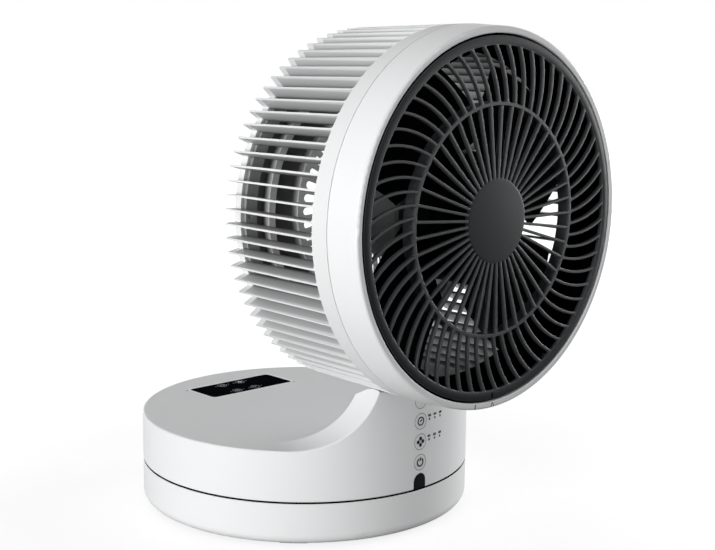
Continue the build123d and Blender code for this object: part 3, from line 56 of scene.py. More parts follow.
# ---- Materials --------------------------------------------------------------------------
class Nodes:
    """A small helper that adds nodes to a material and links them."""

    def __init__(self, name):
        self.material = bpy.data.materials.new(name)
        self.material.use_nodes = True
        self.tree = self.material.node_tree
        self.shader = self.tree.nodes["Principled BSDF"]
        self.place = self.add("ShaderNodeTexCoord").outputs["Object"]

    def add(self, kind, values=None, **links):
        node = self.tree.nodes.new(kind)
        for key, value in (values or {}).items():
            if hasattr(node, key):
                setattr(node, key, value)
            else:
                node.inputs[key].default_value = value
        for socket, source in links.items():
            self.tree.links.new(source, node.inputs[socket.replace("_", " ")])
        return node

    def set(self, **values):
        for socket, value in values.items():
            self.shader.inputs[socket.replace("_", " ")].default_value = value

    def link(self, source, socket):
        self.tree.links.new(source, self.shader.inputs[socket])

    def stretched(self, scale):
        mapping = self.add("ShaderNodeMapping", Vector=self.place)
        mapping.inputs["Scale"].default_value = scale
        return mapping.outputs["Vector"]

    def noise(self, scale, detail=2.0, roughness=0.5, vector=None):
        values = {"Scale": scale, "Detail": detail, "Roughness": roughness}
        return self.add("ShaderNodeTexNoise", values, Vector=vector or self.place).outputs["Fac"]

    def spread(self, source, low, high, first=0.3, last=0.7):
        node = self.add(
            "ShaderNodeMapRange",
            {"From Min": first, "From Max": last, "To Min": low, "To Max": high},
            Value=source,
        )
        return node.outputs["Result"]

    def ramp(self, source, stops):
        node = self.add("ShaderNodeValToRGB", Fac=source)
        elements = node.color_ramp.elements
        while len(elements) < len(stops):
            elements.new(0.5)
        for element, (position, colour) in zip(elements, stops):
            element.position = position
            element.color = (*colour, 1.0)
        return node.outputs["Color"]

    def bump(self, height, distance, strength=1.0, normal=None):
        values = {"Strength": strength, "Distance": distance}
        node = self.add("ShaderNodeBump", values, Height=height)
        if normal is not None:
            self.tree.links.new(normal, node.inputs["Normal"])
        return node.outputs["Normal"]

    def soft_edges(self, radius):
        return self.add("ShaderNodeBevel", {"samples": 4, "Radius": radius}).outputs["Normal"]

    def math(self, operation, first, second):
        node = self.add("ShaderNodeMath", {"operation": operation})
        self.feed(node.inputs[0], first)
        self.feed(node.inputs[1], second)
        return node.outputs[0]

    def mix(self, factor, first, second, blend="MIX"):
        """Blends two colours: each of the three is another node's output or a constant."""
        node = self.add("ShaderNodeMix", {"data_type": "RGBA", "blend_type": blend})
        self.feed(node.inputs["Factor"], factor)
        self.feed(node.inputs[6], first)
        self.feed(node.inputs[7], second)
        return node.outputs[2]

    def feed(self, socket, value):
        if isinstance(value, bpy.types.NodeSocket):
            self.tree.links.new(value, socket)
        else:
            socket.default_value = value


def shade(colour, factor):
    return tuple(min(1.0, part * factor) for part in colour)


def moulded_tone(n, colour, vary):
    """The pigment's slow drift over a moulding."""
    drift = n.noise(22.0, 3.0)
    return n.ramp(drift, [(0.3, shade(colour, 1 - vary)), (0.7, colour)])


def moulded_skin(n, roughness, edge, gloss, grain=1500.0, depth=0.003):
    """A moulding's slow drift of gloss, its spark-eroded grain and its softened edges."""
    n.link(n.spread(n.noise(140.0, 2.0), roughness - 0.02, roughness + 0.02), "Roughness")
    start = n.soft_edges(edge * MM) if edge else None
    n.link(n.bump(n.noise(grain, 3.0, 0.6), depth * MM, 1.0, start), "Normal")
    n.set(IOR=1.5, Specular_IOR_Level=gloss)


def plastic(
    name, colour, roughness, grain=1500.0, depth=0.003, vary=0.012, edge=0.3, gloss=0.5
):
    """Plain moulded plastic; edge and depth are in millimetres."""
    n = Nodes(name)
    n.link(moulded_tone(n, colour, vary), "Base Color")
    moulded_skin(n, roughness, edge, gloss, grain, depth)
    return n.material


def fin_plastic_painted_shade(name, colour, roughness):
    """White fins with painted shade: their faces are painted grey towards the inside of the cage,
    for the shade there.
    """
    n = Nodes(name)
    place = n.add("ShaderNodeSeparateXYZ", Vector=n.place).outputs
    rise = n.math("SUBTRACT", place["Z"], HEAD_HEIGHT)
    across = n.add("ShaderNodeCombineXYZ", X=place["X"], Z=rise)
    radius = n.add("ShaderNodeVectorMath", {"operation": "LENGTH"})
    n.tree.links.new(across.outputs[0], radius.inputs[0])
    reach = n.spread(radius.outputs["Value"], 0.0, 1.0, FIN_INNER * MM, FIN_OUTER * MM)
    white = moulded_tone(n, colour, 0.012)
    # painted shade: the faces run from white at the fins' outer edges to near black at their inner
    # edges
    steps = ((0.0, 0.02), (0.12, 0.16), (0.3, 0.48), (0.8, 0.68), (0.92, 1.0))
    fin_painted_shade = n.ramp(reach, [(share, shade(colour, light)) for share, light in steps])
    # the painted shade lies only between the closed band in front and the tail ring behind
    front, back = HEAD_FRONT + BAND_END * MM, HEAD_FRONT + TAIL_RING * MM
    behind = n.spread(place["Y"], 0.0, 1.0, front - 0.5 * MM, front + 1.5 * MM)
    before = n.spread(place["Y"], 1.0, 0.0, back - 0.5 * MM, back + 0.2 * MM)
    n.link(n.mix(n.math("MULTIPLY", behind, before), white, fin_painted_shade), "Base Color")
    moulded_skin(n, roughness, 0.25, 0.35)
    return n.material


def cover_plastic_painted_shade(name, colour, roughness):
    """White cover with painted shade: its floors and groove walls, on its inner side, are coloured
    darker for the cage's shade.
    """
    n = Nodes(name)
    place = n.add("ShaderNodeSeparateXYZ", Vector=n.place).outputs
    front, back = HEAD_FRONT + COVER_DISC * MM, HEAD_FRONT + HEAD_DEPTH * MM
    # painted shade: the colour darkens with depth from the front disc to the floors, and is white
    # again on the cover's back
    depth = n.spread(place["Y"], 0.0, 1.0, front, back)
    steps = ((0.02, 0.86), (0.12, 0.5), (0.55, 0.16), (0.66, 0.16), (0.70, 1.0))
    grey = n.ramp(depth, [(share, shade(colour, light)) for share, light in steps])
    drift = moulded_tone(n, (1.0, 1.0, 1.0), 0.02)
    n.link(n.mix(1.0, grey, drift, "MULTIPLY"), "Base Color")
    moulded_skin(n, roughness, 0.3, 0.35)
    return n.material


def brushed(name, colour, roughness, stretch=(60, 60, 1400)):
    """Turned or ground steel with fine lines along one direction."""
    n = Nodes(name)
    lines = n.noise(1.0, 4.0, 0.65, n.stretched(stretch))
    n.link(n.ramp(lines, [(0.3, shade(colour, 0.82)), (0.7, colour)]), "Base Color")
    n.link(n.spread(lines, roughness - 0.08, roughness + 0.1), "Roughness")
    n.link(n.bump(lines, 0.01 * MM, 0.6), "Normal")
    n.set(Metallic=1.0, Anisotropic=0.4)
    return n.material


def cast(name, colour, roughness, scale, depth, metallic=1.0):
    """Cast or painted metal with a pebbled skin."""
    n = Nodes(name)
    pebbles = n.noise(scale, 4.0, 0.6)
    n.link(n.ramp(pebbles, [(0.25, shade(colour, 0.7)), (0.75, colour)]), "Base Color")
    n.link(n.spread(pebbles, roughness - 0.1, roughness + 0.1), "Roughness")
    n.link(n.bump(pebbles, depth * MM, 0.8, n.soft_edges(0.3 * MM)), "Normal")
    n.set(Metallic=metallic)
    return n.material


def laminated(name, colour):
    """A stack of stamped sheets, seen as fine lines round the motor's axis."""
    n = Nodes(name)
    sheets = n.add(
        "ShaderNodeTexWave",
        {"bands_direction": "Y", "Scale": 320.0, "Distortion": 0.3, "Detail": 1.0},
        Vector=n.place,
    ).outputs["Fac"]
    n.link(n.ramp(sheets, [(0.2, shade(colour, 0.45)), (0.6, colour)]), "Base Color")
    n.link(n.bump(sheets, 0.08 * MM, 0.7), "Normal")
    n.set(Metallic=0.9, Roughness=0.45)
    return n.material


def board(name):
    """Solder mask over copper tracks, with bare pads."""
    n = Nodes(name)
    tracks = n.add(
        "ShaderNodeTexBrick",
        {
            "Scale": 160.0,
            "Mortar Size": 0.06,
            "offset": 0.37,
            "Color1": (0.010, 0.085, 0.035, 1),
            "Color2": (0.012, 0.11, 0.045, 1),
            "Mortar": (0.03, 0.20, 0.08, 1),
        },
        Vector=n.place,
    )
    pads = n.add("ShaderNodeTexVoronoi", {"Scale": 330.0}, Vector=n.place).outputs["Distance"]
    mask = n.spread(pads, 1.0, 0.0, 0.12, 0.16)
    n.link(n.mix(mask, tracks.outputs["Color"], (0.75, 0.62, 0.32, 1)), "Base Color")
    n.link(n.spread(mask, 0.28, 0.4, 0.0, 1.0), "Roughness")
    n.link(n.bump(tracks.outputs["Fac"], 0.03 * MM, 0.6), "Normal")
    return n.material


WHITE = (0.80, 0.806, 0.812)
finishes = {
    "white_shell": plastic("shell_white", shade(WHITE, 1.06), 0.4, gloss=0.02),
    "white_fins": fin_plastic_painted_shade("fins_white_painted_shade", WHITE, 0.45),
    "white_cover": cover_plastic_painted_shade("cover_white_painted_shade", WHITE, 0.5),
    "white_bezel": plastic("bezel_white", shade(WHITE, 1.06), 0.3, depth=0.002, gloss=0.3),
    "grille_grey": plastic(
        "grille_dark_grey", (0.044, 0.048, 0.051), 0.42, vary=0.1, edge=0.2, gloss=0.35
    ),
    "impeller_grey": plastic("impeller_black", (0.002, 0.002, 0.0023), 0.5, vary=0.2, gloss=0.02),
    "duct_black": plastic("duct_matt_black", (0.002, 0.002, 0.0022), 0.8, vary=0.2, gloss=0.0),
    "button_white": plastic("button_satin_white", WHITE, 0.33, edge=0.2),
    "window_smoke": plastic("window_smoked", (0.009, 0.011, 0.013), 0.3, depth=0.001, gloss=0.12),
    "light_pipe": plastic("light_pipe_milky", (0.10, 0.105, 0.11), 0.3, depth=0.001),
    "remote_black": plastic("remote_black", (0.0035, 0.0045, 0.006), 0.4, vary=0.1, gloss=0.0),
    "key_black": plastic("key_black", (0.0045, 0.0055, 0.007), 0.5, vary=0.1, edge=0.15, gloss=0.0),
    "inner_plastic": plastic("plain_plastic", (0.62, 0.62, 0.61), 0.55, grain=900.0),
    "acetal": plastic("acetal_natural", (0.80, 0.78, 0.70), 0.35),
    "rubber": plastic("rubber_grey", (0.36, 0.36, 0.37), 0.75, grain=700.0, depth=0.03),
    "ballast": cast("ballast_cast_iron", (0.16, 0.16, 0.165), 0.6, 450.0, 0.25),
    "screw_steel": brushed("screw_zinc", (0.60, 0.61, 0.63), 0.32),
    "shaft_steel": brushed("shaft_ground", (0.66, 0.66, 0.67), 0.22, (1400, 60, 1400)),
    "motor_metal": cast("motor_painted", (0.03, 0.03, 0.032), 0.5, 1300.0, 0.03, 0.2),
    "core_steel": laminated("core_laminated", (0.34, 0.33, 0.32)),
    "board_green": board("board_solder_mask"),
    "switch_black": plastic("switch_moulded_black", (0.02, 0.02, 0.021), 0.35),
    "cell_steel": brushed("cell_bright_steel", (0.72, 0.72, 0.73), 0.18, (1400, 60, 60)),
    "friction_pad": plastic("friction_fibre", (0.09, 0.085, 0.08), 0.85, grain=500.0, depth=0.06),
}
# a darker copy of the grille's own plastic for its flat hub and rim: painted shade, where the
# rounded spokes catch more light
flats_painted_shade = plastic(
    "grille_hub_rim_painted_shade", (0.012, 0.0148, 0.017), 0.5, vary=0.08, edge=0.2, gloss=0.2
)
# black for printed marks, and for the painted shade in the grooves round the buttons
ink_and_painted_shade = plastic("print_black_and_painted_shade", (0.006, 0.007, 0.008), 0.6, edge=0, gloss=0.2)
print_grey = plastic("print_dark_grey", (0.035, 0.038, 0.042), 0.5, edge=0)
print_light = plastic("print_light_grey", (0.62, 0.64, 0.65), 0.5, edge=0)
print_faint = plastic("print_faint_grey", (0.34, 0.35, 0.36), 0.5, edge=0)
shadow_line = plastic("shadow_line_black", (0.001, 0.001, 0.001), 0.9, edge=0, gloss=0.0)

for part in frame["record"]["subparts"]:
    node = frame["nodes"][part["node"]]
    node.data.materials.clear()
    node.data.materials.append(finishes[part["material_slot"]])


# ---- Making pieces ----------------------------------------------------------------------
def piece(name, mesh, body, slot, material=None, replaces=()):
    """Stands a mesh in the scene, on a body of the frame, in its slot's finish or in another."""
    made = bpy.data.objects.new(name, mesh)
    bpy.context.scene.collection.objects.link(made)
    mesh.materials.clear()
    mesh.materials.append(material or finishes[slot])
    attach(made, body)
    if replaces:
        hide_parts(*replaces)
    return made


def smooth(mesh, angle=35.0):
    """Smooth shading with the edges kept crisp where faces meet at more than an angle."""
    form = bmesh.new()
    form.from_mesh(mesh)
    for face in form.faces:
        face.smooth = True
    for edge in form.edges:
        edge.smooth = edge.is_manifold and edge.calc_face_angle(0.0) < radians(angle)
    form.to_mesh(mesh)
    form.free()
    return mesh


def head_point(depth, radius, angle):
    """A point of the head: depth behind its front edge, radius and angle about its axis."""
    turn = radians(angle)
    return Vector(
        (radius * MM * cos(turn), HEAD_FRONT + depth * MM, HEAD_HEIGHT + radius * MM * sin(turn))
    )


def turned(name, rings):
    """A closed body of revolution through rings of points, one for each step of the turn."""
    form = bmesh.new()
    rings = [[form.verts.new(point) for point in ring] for ring in rings]
    for this, following in zip(rings, rings[1:] + rings[:1]):
        for k in range(len(this)):
            form.faces.new((this[k - 1], this[k], following[k], following[k - 1]))
    bmesh.ops.remove_doubles(form, verts=form.verts, dist=1e-7)
    bmesh.ops.recalc_face_normals(form, faces=form.faces)
    mesh = bpy.data.meshes.new(name)
    form.to_mesh(mesh)
    form.free()
    return smooth(mesh)


def lathe(name, profile, steps):
    """A closed (depth, radius) outline in mm turned about the head's axis."""
    turns = (360 * step / steps for step in range(steps))
    return turned(name, [[head_point(*place, turn) for place in profile] for turn in turns])


def rounded(points, radius, steps=5):
    """A closed outline whose marked corners are rounded; each point is (x, y, is_corner)."""
    out = []
    count = len(points)
    for k, (x, y, corner) in enumerate(points):
        here = Vector((x, y))
        if not corner:
            out.append(here)
            continue
        before = Vector(points[k - 1][:2]) - here
        after = Vector(points[(k + 1) % count][:2]) - here
        start = here + before.normalized() * min(radius, before.length * 0.9)
        end = here + after.normalized() * min(radius, after.length * 0.9)
        for step in range(steps + 1):
            t = step / steps
            out.append(start * (1 - t) ** 2 + here * 2 * t * (1 - t) + end * t * t)
    return out


def flat_curve(name, outlines, thickness, bevel, bevel_steps=2):
    """A filled plate from closed outlines in mm: holes are outlines inside the first."""
    curve = bpy.data.curves.new(name, "CURVE")
    curve.dimensions = "2D"
    curve.fill_mode = "BOTH"
    for outline in outlines:
        spline = curve.splines.new("POLY")
        spline.points.add(len(outline) - 1)
        for point, place in zip(spline.points, outline):
            point.co = (place[0] * MM, place[1] * MM, 0, 1)
        spline.use_cyclic_u = True
    curve.extrude = (thickness / 2 - bevel) * MM
    curve.bevel_depth = bevel * MM
    curve.bevel_resolution = bevel_steps
    curve.offset = -bevel * MM
    holder = bpy.data.objects.new(name, curve)
    bpy.context.scene.collection.objects.link(holder)
    bpy.context.view_layer.update()
    depsgraph = bpy.context.evaluated_depsgraph_get()
    mesh = bpy.data.meshes.new_from_object(holder.evaluated_get(depsgraph))
    mesh.name = name
    bpy.data.objects.remove(holder)
    bpy.data.curves.remove(curve)
    return mesh


def joined(name, meshes):
    """One mesh made of several, which are used up."""
    form = bmesh.new()
    for mesh in meshes:
        form.from_mesh(mesh)
        bpy.data.meshes.remove(mesh)
    mesh = bpy.data.meshes.new(name)
    form.to_mesh(mesh)
    form.free()
    return mesh


def onto_head(mesh, depth):
    """Stands a flat plate across the head, its middle at a depth, as seen from the front."""
    for vertex in mesh.vertices:
        x, y, z = vertex.co
        vertex.co = (x, HEAD_FRONT + depth * MM - z, HEAD_HEIGHT + y)
    return mesh


def turns_of(steps):
    """The angles, in radians, of even steps round a circle."""
    return [2 * pi * step / steps for step in range(steps)]


def oval(x, y, half_width, half_height, steps=24):
    return [(x + half_width * cos(t), y + half_height * sin(t)) for t in turns_of(steps)]


def circle(radius, steps=240):
    return oval(0.0, 0.0, radius, radius, steps)


# ---- Front grille -----------------------------------------------------------------------
# radii, and sizes across the spokes and through the plate, in millimetres
HUB, RING_IN, RING_OUT, RIM_IN, FACE_OUT, RIM_OUT = 27.2, 72.3, 74.6, 109.3, 115.15, 116.2
SWIRL_START, SWIRL_END = 73.45, 109.8
SPOKE, FACE_THICKNESS, FACE_FRONT = 1.8, 2.7, 0.45
INNER_SPOKES, OUTER_SPOKES = 45, 60


def swirl(radius):
    """Angle in degrees of an outer spoke's middle at a radius."""
    share = (radius - SWIRL_START) / (SWIRL_END - SWIRL_START)
    return 0.2 + 4.5 * share + 3.8 * share * share


def opening(inner, outer, first, last, bend, corner, steps=10):
    """One opening between two spokes, whose sides follow the spokes at half their width."""
    points = []
    radii = [inner + (outer - inner) * step / steps for step in range(steps + 1)]

    def side(radius, angle, sign):
        slope = (bend(radius + 0.1) - bend(radius - 0.1)) / 0.2
        lean = hypot(1.0, radians(slope) * radius)
        turn = radians(angle + bend(radius)) + sign * SPOKE / 2 * lean / radius
        return (radius * cos(turn), radius * sin(turn))

    for k, radius in enumerate(radii):
        points.append((*side(radius, first, 1), k in (0, steps)))
    start = atan2(points[-1][1], points[-1][0])
    end_x, end_y = side(outer, last, -1)
    end = atan2(end_y, end_x)
    end += 2 * pi if end < start else 0.0
    for k in (1, 2):
        turn = start + (end - start) * k / 3
        points.append((outer * cos(turn), outer * sin(turn), False))
    for k, radius in enumerate(reversed(radii)):
        points.append((*side(radius, last, -1), k in (0, steps)))
    return rounded(points, corner)


outlines = [circle(FACE_OUT)]
for k in range(INNER_SPOKES):
    angle = 0.2 + 360 * k / INNER_SPOKES
    outlines.append(
        opening(HUB - 0.6, RING_IN, angle, angle + 360 / INNER_SPOKES, lambda r: 0.0, 0.5, 4)
    )
for k in range(OUTER_SPOKES):
    angle = 360 * k / OUTER_SPOKES
    outlines.append(opening(RING_OUT, RIM_IN, angle, angle + 360 / OUTER_SPOKES, swirl, 1.3))
face = onto_head(
    flat_curve("grille_face", outlines, FACE_THICKNESS, 0.35), FACE_FRONT + FACE_THICKNESS / 2
)
piece("grille_face", smooth(face, 40), "grille", "grille_grey", replaces=["front_grille"])
hub_profile = [(0.36, 0.0), (0.36, 25.9), (0.46, 26.7), (0.90, HUB), (2.9, HUB), (2.9, 0.0)]
piece("grille_hub", lathe("grille_hub", hub_profile, 120), "grille", "grille_grey", flats_painted_shade)
rim_profile = [(0.42, 109.9), (0.36, 110.1), (0.36, 114.6), (0.55, 115.0), (0.9, FACE_OUT),
               (2.2, 115.2), (2.2, RIM_OUT), (3.6, RIM_OUT), (3.6, 112.5), (1.5, 109.9)]
piece("grille_rim", lathe("grille_rim", rim_profile, 240), "grille", "grille_grey", flats_painted_shade)
# a black ring at the floor of the gap between the grille's rim and the bezel: painted shadow
gap_profile = [(2.1, 115.22), (2.1, RIM_OUT), (2.25, RIM_OUT), (2.25, 115.22)]
piece("rim_gap", lathe("rim_gap", gap_profile, 240), "grille", "duct_black", shadow_line)


# ---- Marks on the head's front ----------------------------------------------------------
def bar(x, y, width, height, turn=0.0):
    """A rectangle about a point, turned by an angle in degrees."""
    corners = [(-width / 2, -height / 2), (width / 2, -height / 2), (width / 2, height / 2),
               (-width / 2, height / 2)]
    c, s = cos(radians(turn)), sin(radians(turn))
    return [(x + c * u - s * v, y + s * u + c * v) for u, v in corners]


def marks(name, outlines, thickness=0.08):
    """Printed marks: each outline is filled by itself."""
    return joined(name, [flat_curve(name, [outline], thickness, 0.0, 0) for outline in outlines])


def onto_wall(mesh, height, lift=0.05):
    """Wraps flat marks round the base's wall: x runs along it from its front, y is up."""
    for vertex in mesh.vertices:
        x, y, z = vertex.co
        reach, turn = BASE_RADIUS + lift * MM + z, x / BASE_RADIUS
        vertex.co = (reach * sin(turn), -reach * cos(turn), height * MM + y)
    return mesh


def onto_deck(mesh, x, y, height):
    """Lays flat marks on the deck or on the remote, about a point in millimetres."""
    for vertex in mesh.vertices:
        vertex.co += Vector((x * MM, y * MM, height * MM))
    return mesh


def arc(radius, first, last, width, steps=24):
    """An open band along an arc, as a closed outline."""
    turns = [radians(first + (last - first) * step / steps) for step in range(steps + 1)]
    outer = [((radius + width / 2) * cos(t), (radius + width / 2) * sin(t)) for t in turns]
    inner = [((radius - width / 2) * cos(t), (radius - width / 2) * sin(t)) for t in turns]
    return outer + inner[::-1]


def triangle(x, y, size, turn):
    """An arrow's head, pointing along an angle in degrees."""
    return [
        (x + size * cos(radians(turn + part)), y + size * sin(radians(turn + part)))
        for part in (0, 130, 230)
    ]


def icon_power(size, width):
    return [arc(size, 118, 422, width), bar(0, size * 0.78, width, size * 0.95)]


def icon_fan(size, _):
    """Four lobes, so it has no line whose width could be set."""
    reach, half = size * 0.72, size * 0.45
    return [oval(reach * x, reach * y, half, half) for x, y in ((1, 0), (0, 1), (-1, 0), (0, -1))]


def icon_clock(size, width):
    hands = [bar(size * 0.16, size * 0.2, size * 0.66, width, 50),
             bar(-size * 0.16, size * 0.02, size * 0.36, width, -40)]
    return [arc(size, 90, 450, width, 48), *hands]


def icon_swing(size, width):
    arrows = [triangle(size * 0.87 * side, size * 0.4, width * 1.8, -60 - 60 * (side < 0))
              for side in (-1, 1)]
    return [oval(0, -size * 0.1, width * 0.9, width * 0.9), arc(size, 35, 145, width), *arrows]


icons = {"power": icon_power, "speed": icon_fan, "timer": icon_clock, "swing": icon_swing}


def numeral(text, size):
    """Flat outlines of a number in Blender's own lettering, centred, as a mesh."""
    curve = bpy.data.curves.new("numeral", "FONT")
    curve.body = text
    curve.size = size * MM
    curve.align_x, curve.align_y = "CENTER", "CENTER"
    curve.offset = 0.16 * MM
    curve.extrude = 0.04 * MM
    curve.resolution_u = 4
    holder = bpy.data.objects.new("numeral", curve)
    bpy.context.scene.collection.objects.link(holder)
    bpy.context.view_layer.update()
    mesh = bpy.data.meshes.new_from_object(
        holder.evaluated_get(bpy.context.evaluated_depsgraph_get())
    )
    bpy.data.objects.remove(holder)
    bpy.data.curves.remove(curve)
    return mesh


tick = onto_head(marks("rim_tick", [bar(0.0, -112.6, 1.3, 3.6)], 0.06), 0.34)
piece("rim_tick", tick, "grille", "duct_black", shadow_line)
bezel_marks = [
    bar(-16.4, -117.7, 0.9, 2.9, -7.9),
    bar(-0.75, -118.6, 0.55, 3.0, -24.0),
    bar(0.75, -118.6, 0.55, 3.0, 24.0),
]
mesh = onto_head(marks("bezel_marks", bezel_marks, 0.06), 0.02)
piece("bezel_marks", mesh, "head", "grille_grey", print_grey)
# the hairline between the bezel and the fin cage gets a black ring at its bottom: painted shadow
seam_start, seam_end = BEZEL_DEPTH + 0.02, BEZEL_DEPTH + 0.38
seam_profile = [(seam_start, SEAM_FLOOR), (seam_start, SEAM_TOP), (seam_end, SEAM_TOP),
                (seam_end, SEAM_FLOOR)]
piece("head_seam", lathe("head_seam", seam_profile, 240), "head", "duct_black", shadow_line)

# the open seam between the base shells gets a black ring too: painted shadow
BASE_SEAM = ((118.9, 31.0), (119.75, 31.0), (119.75, 32.0), (118.9, 32.0))  # radius, height
rings = [[(r * MM * cos(t), r * MM * sin(t), z * MM) for r, z in BASE_SEAM] for t in turns_of(240)]
piece("base_seam", turned("base_seam", rings), "base", "duct_black", shadow_line)

# ---- Panel marks ------------------------------------------------------------------------
FIRST_BUTTON, BUTTON_PITCH = 50.7, 14.5  # height of the lowest button, and from one to the next
LIGHT_ARCS = (8.8, 14.7, 20.9)  # of the small lights, along the wall
NUMBER_RISE = 2.5  # of the numbers over the lights
NUMBER_HEIGHT, NUMBER_WIDTH = 2.2, 1.4  # their size, and how far they are widened
# the groove round each button gets a black ring: painted shade
BUTTON_GROOVE = (5.74, 5.44)  # radii of the dark line round each button
# each icon's half size and the width of its lines
ICON_SIZES = {"power": (2.7, 1.1), "speed": (3.1, 0.8), "timer": (2.7, 0.9), "swing": (2.8, 0.8)}
for row, name in enumerate(("power", "speed", "timer", "swing")):
    height = FIRST_BUTTON + BUTTON_PITCH * row
    print_mesh = marks(f"{name}_icon", icons[name](*ICON_SIZES[name]))
    piece(f"{name}_icon", onto_wall(print_mesh, height), f"{name}_button", "duct_black", ink_and_painted_shade)
    groove = flat_curve(f"{name}_groove", [circle(r, 72) for r in BUTTON_GROOVE], 0.06, 0.0)
    piece(f"{name}_groove", onto_wall(groove, height, -0.06), "turntable", "duct_black", ink_and_painted_shade)
for row, texts in ((1, ("01", "02", "03")), (2, ("02", "04", "08"))):
    height = FIRST_BUTTON + BUTTON_PITCH * row + NUMBER_RISE
    parts = []
    for text, reach in zip(texts, LIGHT_ARCS):
        mesh = numeral(text, NUMBER_HEIGHT)
        for vertex in mesh.vertices:
            vertex.co.x = NUMBER_WIDTH * vertex.co.x + reach * MM
        parts.append(onto_wall(mesh, height, 0.02))
    piece(f"numbers_{row}", joined(f"numbers_{row}", parts), "turntable", "duct_black", ink_and_painted_shade)

# ---- Remote control ---------------------------------------------------------------------
REMOTE = Vector((-1.0, 76.0))  # its middle on the deck
REMOTE_TOP = 66.8  # its top above the floor
KEY_RING = (3.75, 3.45)  # radii of the line round each key's icon
KEYS = {  # places of the keys about the remote's middle
    "power": (-11.5, 9.75), "speed": (6.0, 9.75), "timer": (-11.5, -9.75), "swing": (6.0, -9.75)
}
for name, (x, y) in KEYS.items():
    outline = flat_curve("ring", [circle(r, 48) for r in KEY_RING], 0.06, 0)
    ring = joined(f"{name}_key_ring", [outline])
    place = (REMOTE.x + x, REMOTE.y + y, REMOTE_TOP + 0.02)
    ring = onto_deck(ring, *place)
    piece(f"{name}_key_ring", ring, f"remote_key_{name}", "key_black", print_faint)
    sign = marks(f"{name}_key_icon", icons[name](1.7, 0.4), 0.06)
    ink = print_light if name == "speed" else print_faint
    piece(f"{name}_key_icon", onto_deck(sign, *place), f"remote_key_{name}", "key_black", ink)
sides = [bar(x + 6.2 * side, y, 1.5, 0.45, 40 * side) for x, y in KEYS.values() for side in (-1, 1)]
piece("remote_marks", onto_deck(marks("remote_marks", sides, 0.06), *REMOTE, REMOTE_TOP + 0.01),
      "remote", "remote_black", print_faint)
# a thin lip round the remote's recess, whiter than the shell: painted highlight on its edge; and a
# black disc at each of its ends: painted shade of a pin hole
RECESS_HALF = (39.15, 16.65)
RECESS_CORNER = 3.9


def frame_outline(grow):
    """The recess's outline, grown outwards."""
    x, y = RECESS_HALF[0] + grow, RECESS_HALF[1] + grow
    corners = [(x, y, True), (-x, y, True), (-x, -y, True), (x, -y, True)]
    return [tuple(point) for point in rounded(corners, RECESS_CORNER + grow, 8)]


# painted highlight: the lip is whiter than the shell round it
lip = flat_curve("recess_lip", [frame_outline(0.85), frame_outline(0.05)], 0.12, 0.05)
piece("recess_lip", onto_deck(lip, *REMOTE, DECK / MM + 0.02), "turntable", "white_shell",
      plastic("lip_white_painted_highlight", (0.95, 0.95, 0.95), 0.3, edge=0))
# black discs as the painted shade of the pin holes
holes = [oval(-42.5, 13.8, 0.65, 0.65), oval(38.8, -18.0, 0.65, 0.65)]
piece("pin_holes", onto_deck(marks("pin_holes", holes), *REMOTE, DECK / MM + 0.01), "turntable",
      "duct_black", shadow_line)

# ---- Camera -----------------------------------------------------------------------------
camera_data = bpy.data.cameras.new("camera")
camera_data.lens = 66.94
camera_data.sensor_width = 36.0
camera_data.clip_start, camera_data.clip_end = 0.05, 50.0
camera = bpy.data.objects.new("camera", camera_data)
right = Vector((0.7308, -0.6825, 0.0112))
up = Vector((0.1054, 0.1291, 0.9861))
forward = Vector((0.6744, 0.7194, -0.1663))
turn = Matrix((right, up, -forward)).transposed().to_4x4()
camera.matrix_world = Matrix.Translation((-0.6313, -0.7287, 0.3278)) @ turn
bpy.context.scene.collection.objects.link(camera)
bpy.context.scene.camera = camera

# ---- Floor, light and background --------------------------------------------------------
AMBIENT = (0.12, 0.37)  # the world's strength at its back and its front
GLOW_NEAR, GLOW_FAR = (0.2, 0.8), (0.7, 1.0)  # distance from the object, and the floor's glow there
floor_mesh = bpy.data.meshes.new("floor")
form = bmesh.new()
bmesh.ops.create_grid(form, x_segments=8, y_segments=8, size=6.0)
form.to_mesh(floor_mesh)
form.free()
floor = bpy.data.objects.new("floor", floor_mesh)
bpy.context.scene.collection.objects.link(floor)
# to the camera the floor is white further away and keeps the shadow near the object
n = Nodes("floor_white")
n.tree.nodes.remove(n.shader)
diffuse = n.add("ShaderNodeBsdfDiffuse", {"Color": (0.30, 0.30, 0.30, 1)})
distance = n.add("ShaderNodeVectorMath", {"operation": "LENGTH"})
n.tree.links.new(n.place, distance.inputs[0])
glow = n.add("ShaderNodeEmission", {"Color": (1, 1, 1, 1)})
level = n.spread(distance.outputs["Value"], GLOW_NEAR[1], GLOW_FAR[1], GLOW_NEAR[0], GLOW_FAR[0])
n.tree.links.new(level, glow.inputs["Strength"])
both = n.add("ShaderNodeAddShader")
n.tree.links.new(diffuse.outputs[0], both.inputs[0])
n.tree.links.new(glow.outputs[0], both.inputs[1])
camera_ray = n.add("ShaderNodeLightPath").outputs["Is Camera Ray"]
switch = n.add("ShaderNodeMixShader", Fac=camera_ray)
n.tree.links.new(diffuse.outputs[0], switch.inputs[1])
n.tree.links.new(both.outputs[0], switch.inputs[2])
n.tree.links.new(switch.outputs[0], n.tree.nodes["Material Output"].inputs["Surface"])
floor_mesh.materials.append(n.material)

world = bpy.data.worlds.new("studio")
bpy.context.scene.world = world
world.use_nodes = True
tree = world.node_tree
ambient = tree.nodes["Background"]
ambient.inputs["Color"].default_value = (1.0, 1.0, 1.0, 1)
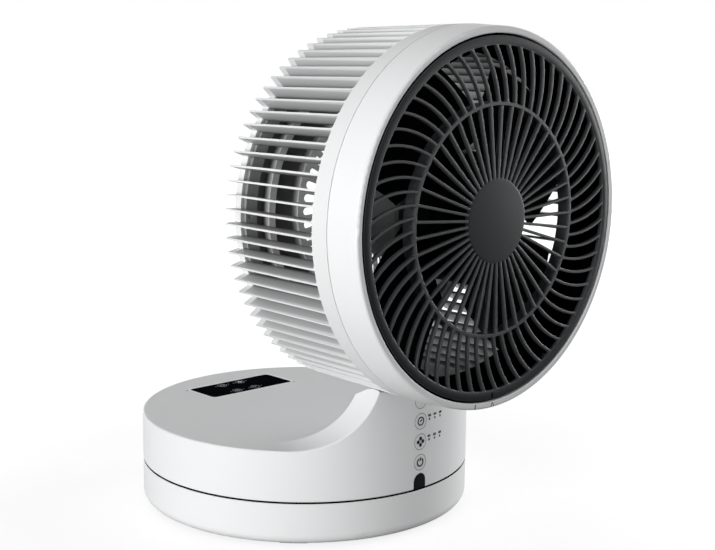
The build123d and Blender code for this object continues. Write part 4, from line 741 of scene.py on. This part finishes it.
# the studio is brightest low in front and dims towards its ceiling and its back
toward = tree.nodes.new("ShaderNodeVectorMath")
toward.operation = "DOT_PRODUCT"
toward.inputs[1].default_value = Vector((-0.1, -0.95, -0.15)).normalized()
tree.links.new(tree.nodes.new("ShaderNodeTexCoord").outputs["Generated"], toward.inputs[0])
level = tree.nodes.new("ShaderNodeMapRange")
level.inputs["From Min"].default_value, level.inputs["From Max"].default_value = -1.0, 1.0
level.inputs["To Min"].default_value, level.inputs["To Max"].default_value = AMBIENT
tree.links.new(toward.outputs["Value"], level.inputs["Value"])
tree.links.new(level.outputs["Result"], ambient.inputs["Strength"])
# the camera, reflections and clear parts see plain white instead
plain = tree.nodes.new("ShaderNodeBackground")
plain.inputs["Color"].default_value = (1, 1, 1, 1)
plain.inputs["Strength"].default_value = 1.0
path = tree.nodes.new("ShaderNodeLightPath")
seen_white = path.outputs["Is Camera Ray"]
for ray in ("Is Glossy Ray", "Is Transmission Ray"):
    either = tree.nodes.new("ShaderNodeMath")
    either.operation = "MAXIMUM"
    tree.links.new(seen_white, either.inputs[0])
    tree.links.new(path.outputs[ray], either.inputs[1])
    seen_white = either.outputs[0]
mix = tree.nodes.new("ShaderNodeMixShader")
tree.links.new(seen_white, mix.inputs["Fac"])
tree.links.new(ambient.outputs[0], mix.inputs[1])
tree.links.new(plain.outputs[0], mix.inputs[2])
tree.links.new(mix.outputs[0], tree.nodes["World Output"].inputs["Surface"])


LAMP_SIZE = (1.0, 1.2)


def softbox(name, place, target, power):
    """A large soft lamp at a place, aimed at a target."""
    data = bpy.data.lights.new(name, "AREA")
    data.shape = "RECTANGLE"
    data.size, data.size_y = LAMP_SIZE
    data.energy = power
    lamp = bpy.data.objects.new(name, data)
    lamp.location = place
    lamp.rotation_euler = (Vector(target) - Vector(place)).to_track_quat("-Z", "Y").to_euler()
    bpy.context.scene.collection.objects.link(lamp)


softbox("key", (-2.1, -0.40, 0.19), (0, -0.05, 0.15), 59.0)
softbox("fill", (2.1, -0.38, 0.12), (0, -0.05, 0.15), 70.0)
softbox("rear", (0.3, 2.2, 0.3), (0, 0.05, 0.15), 28.0)

bpy.context.scene.view_settings.view_transform = "Standard"
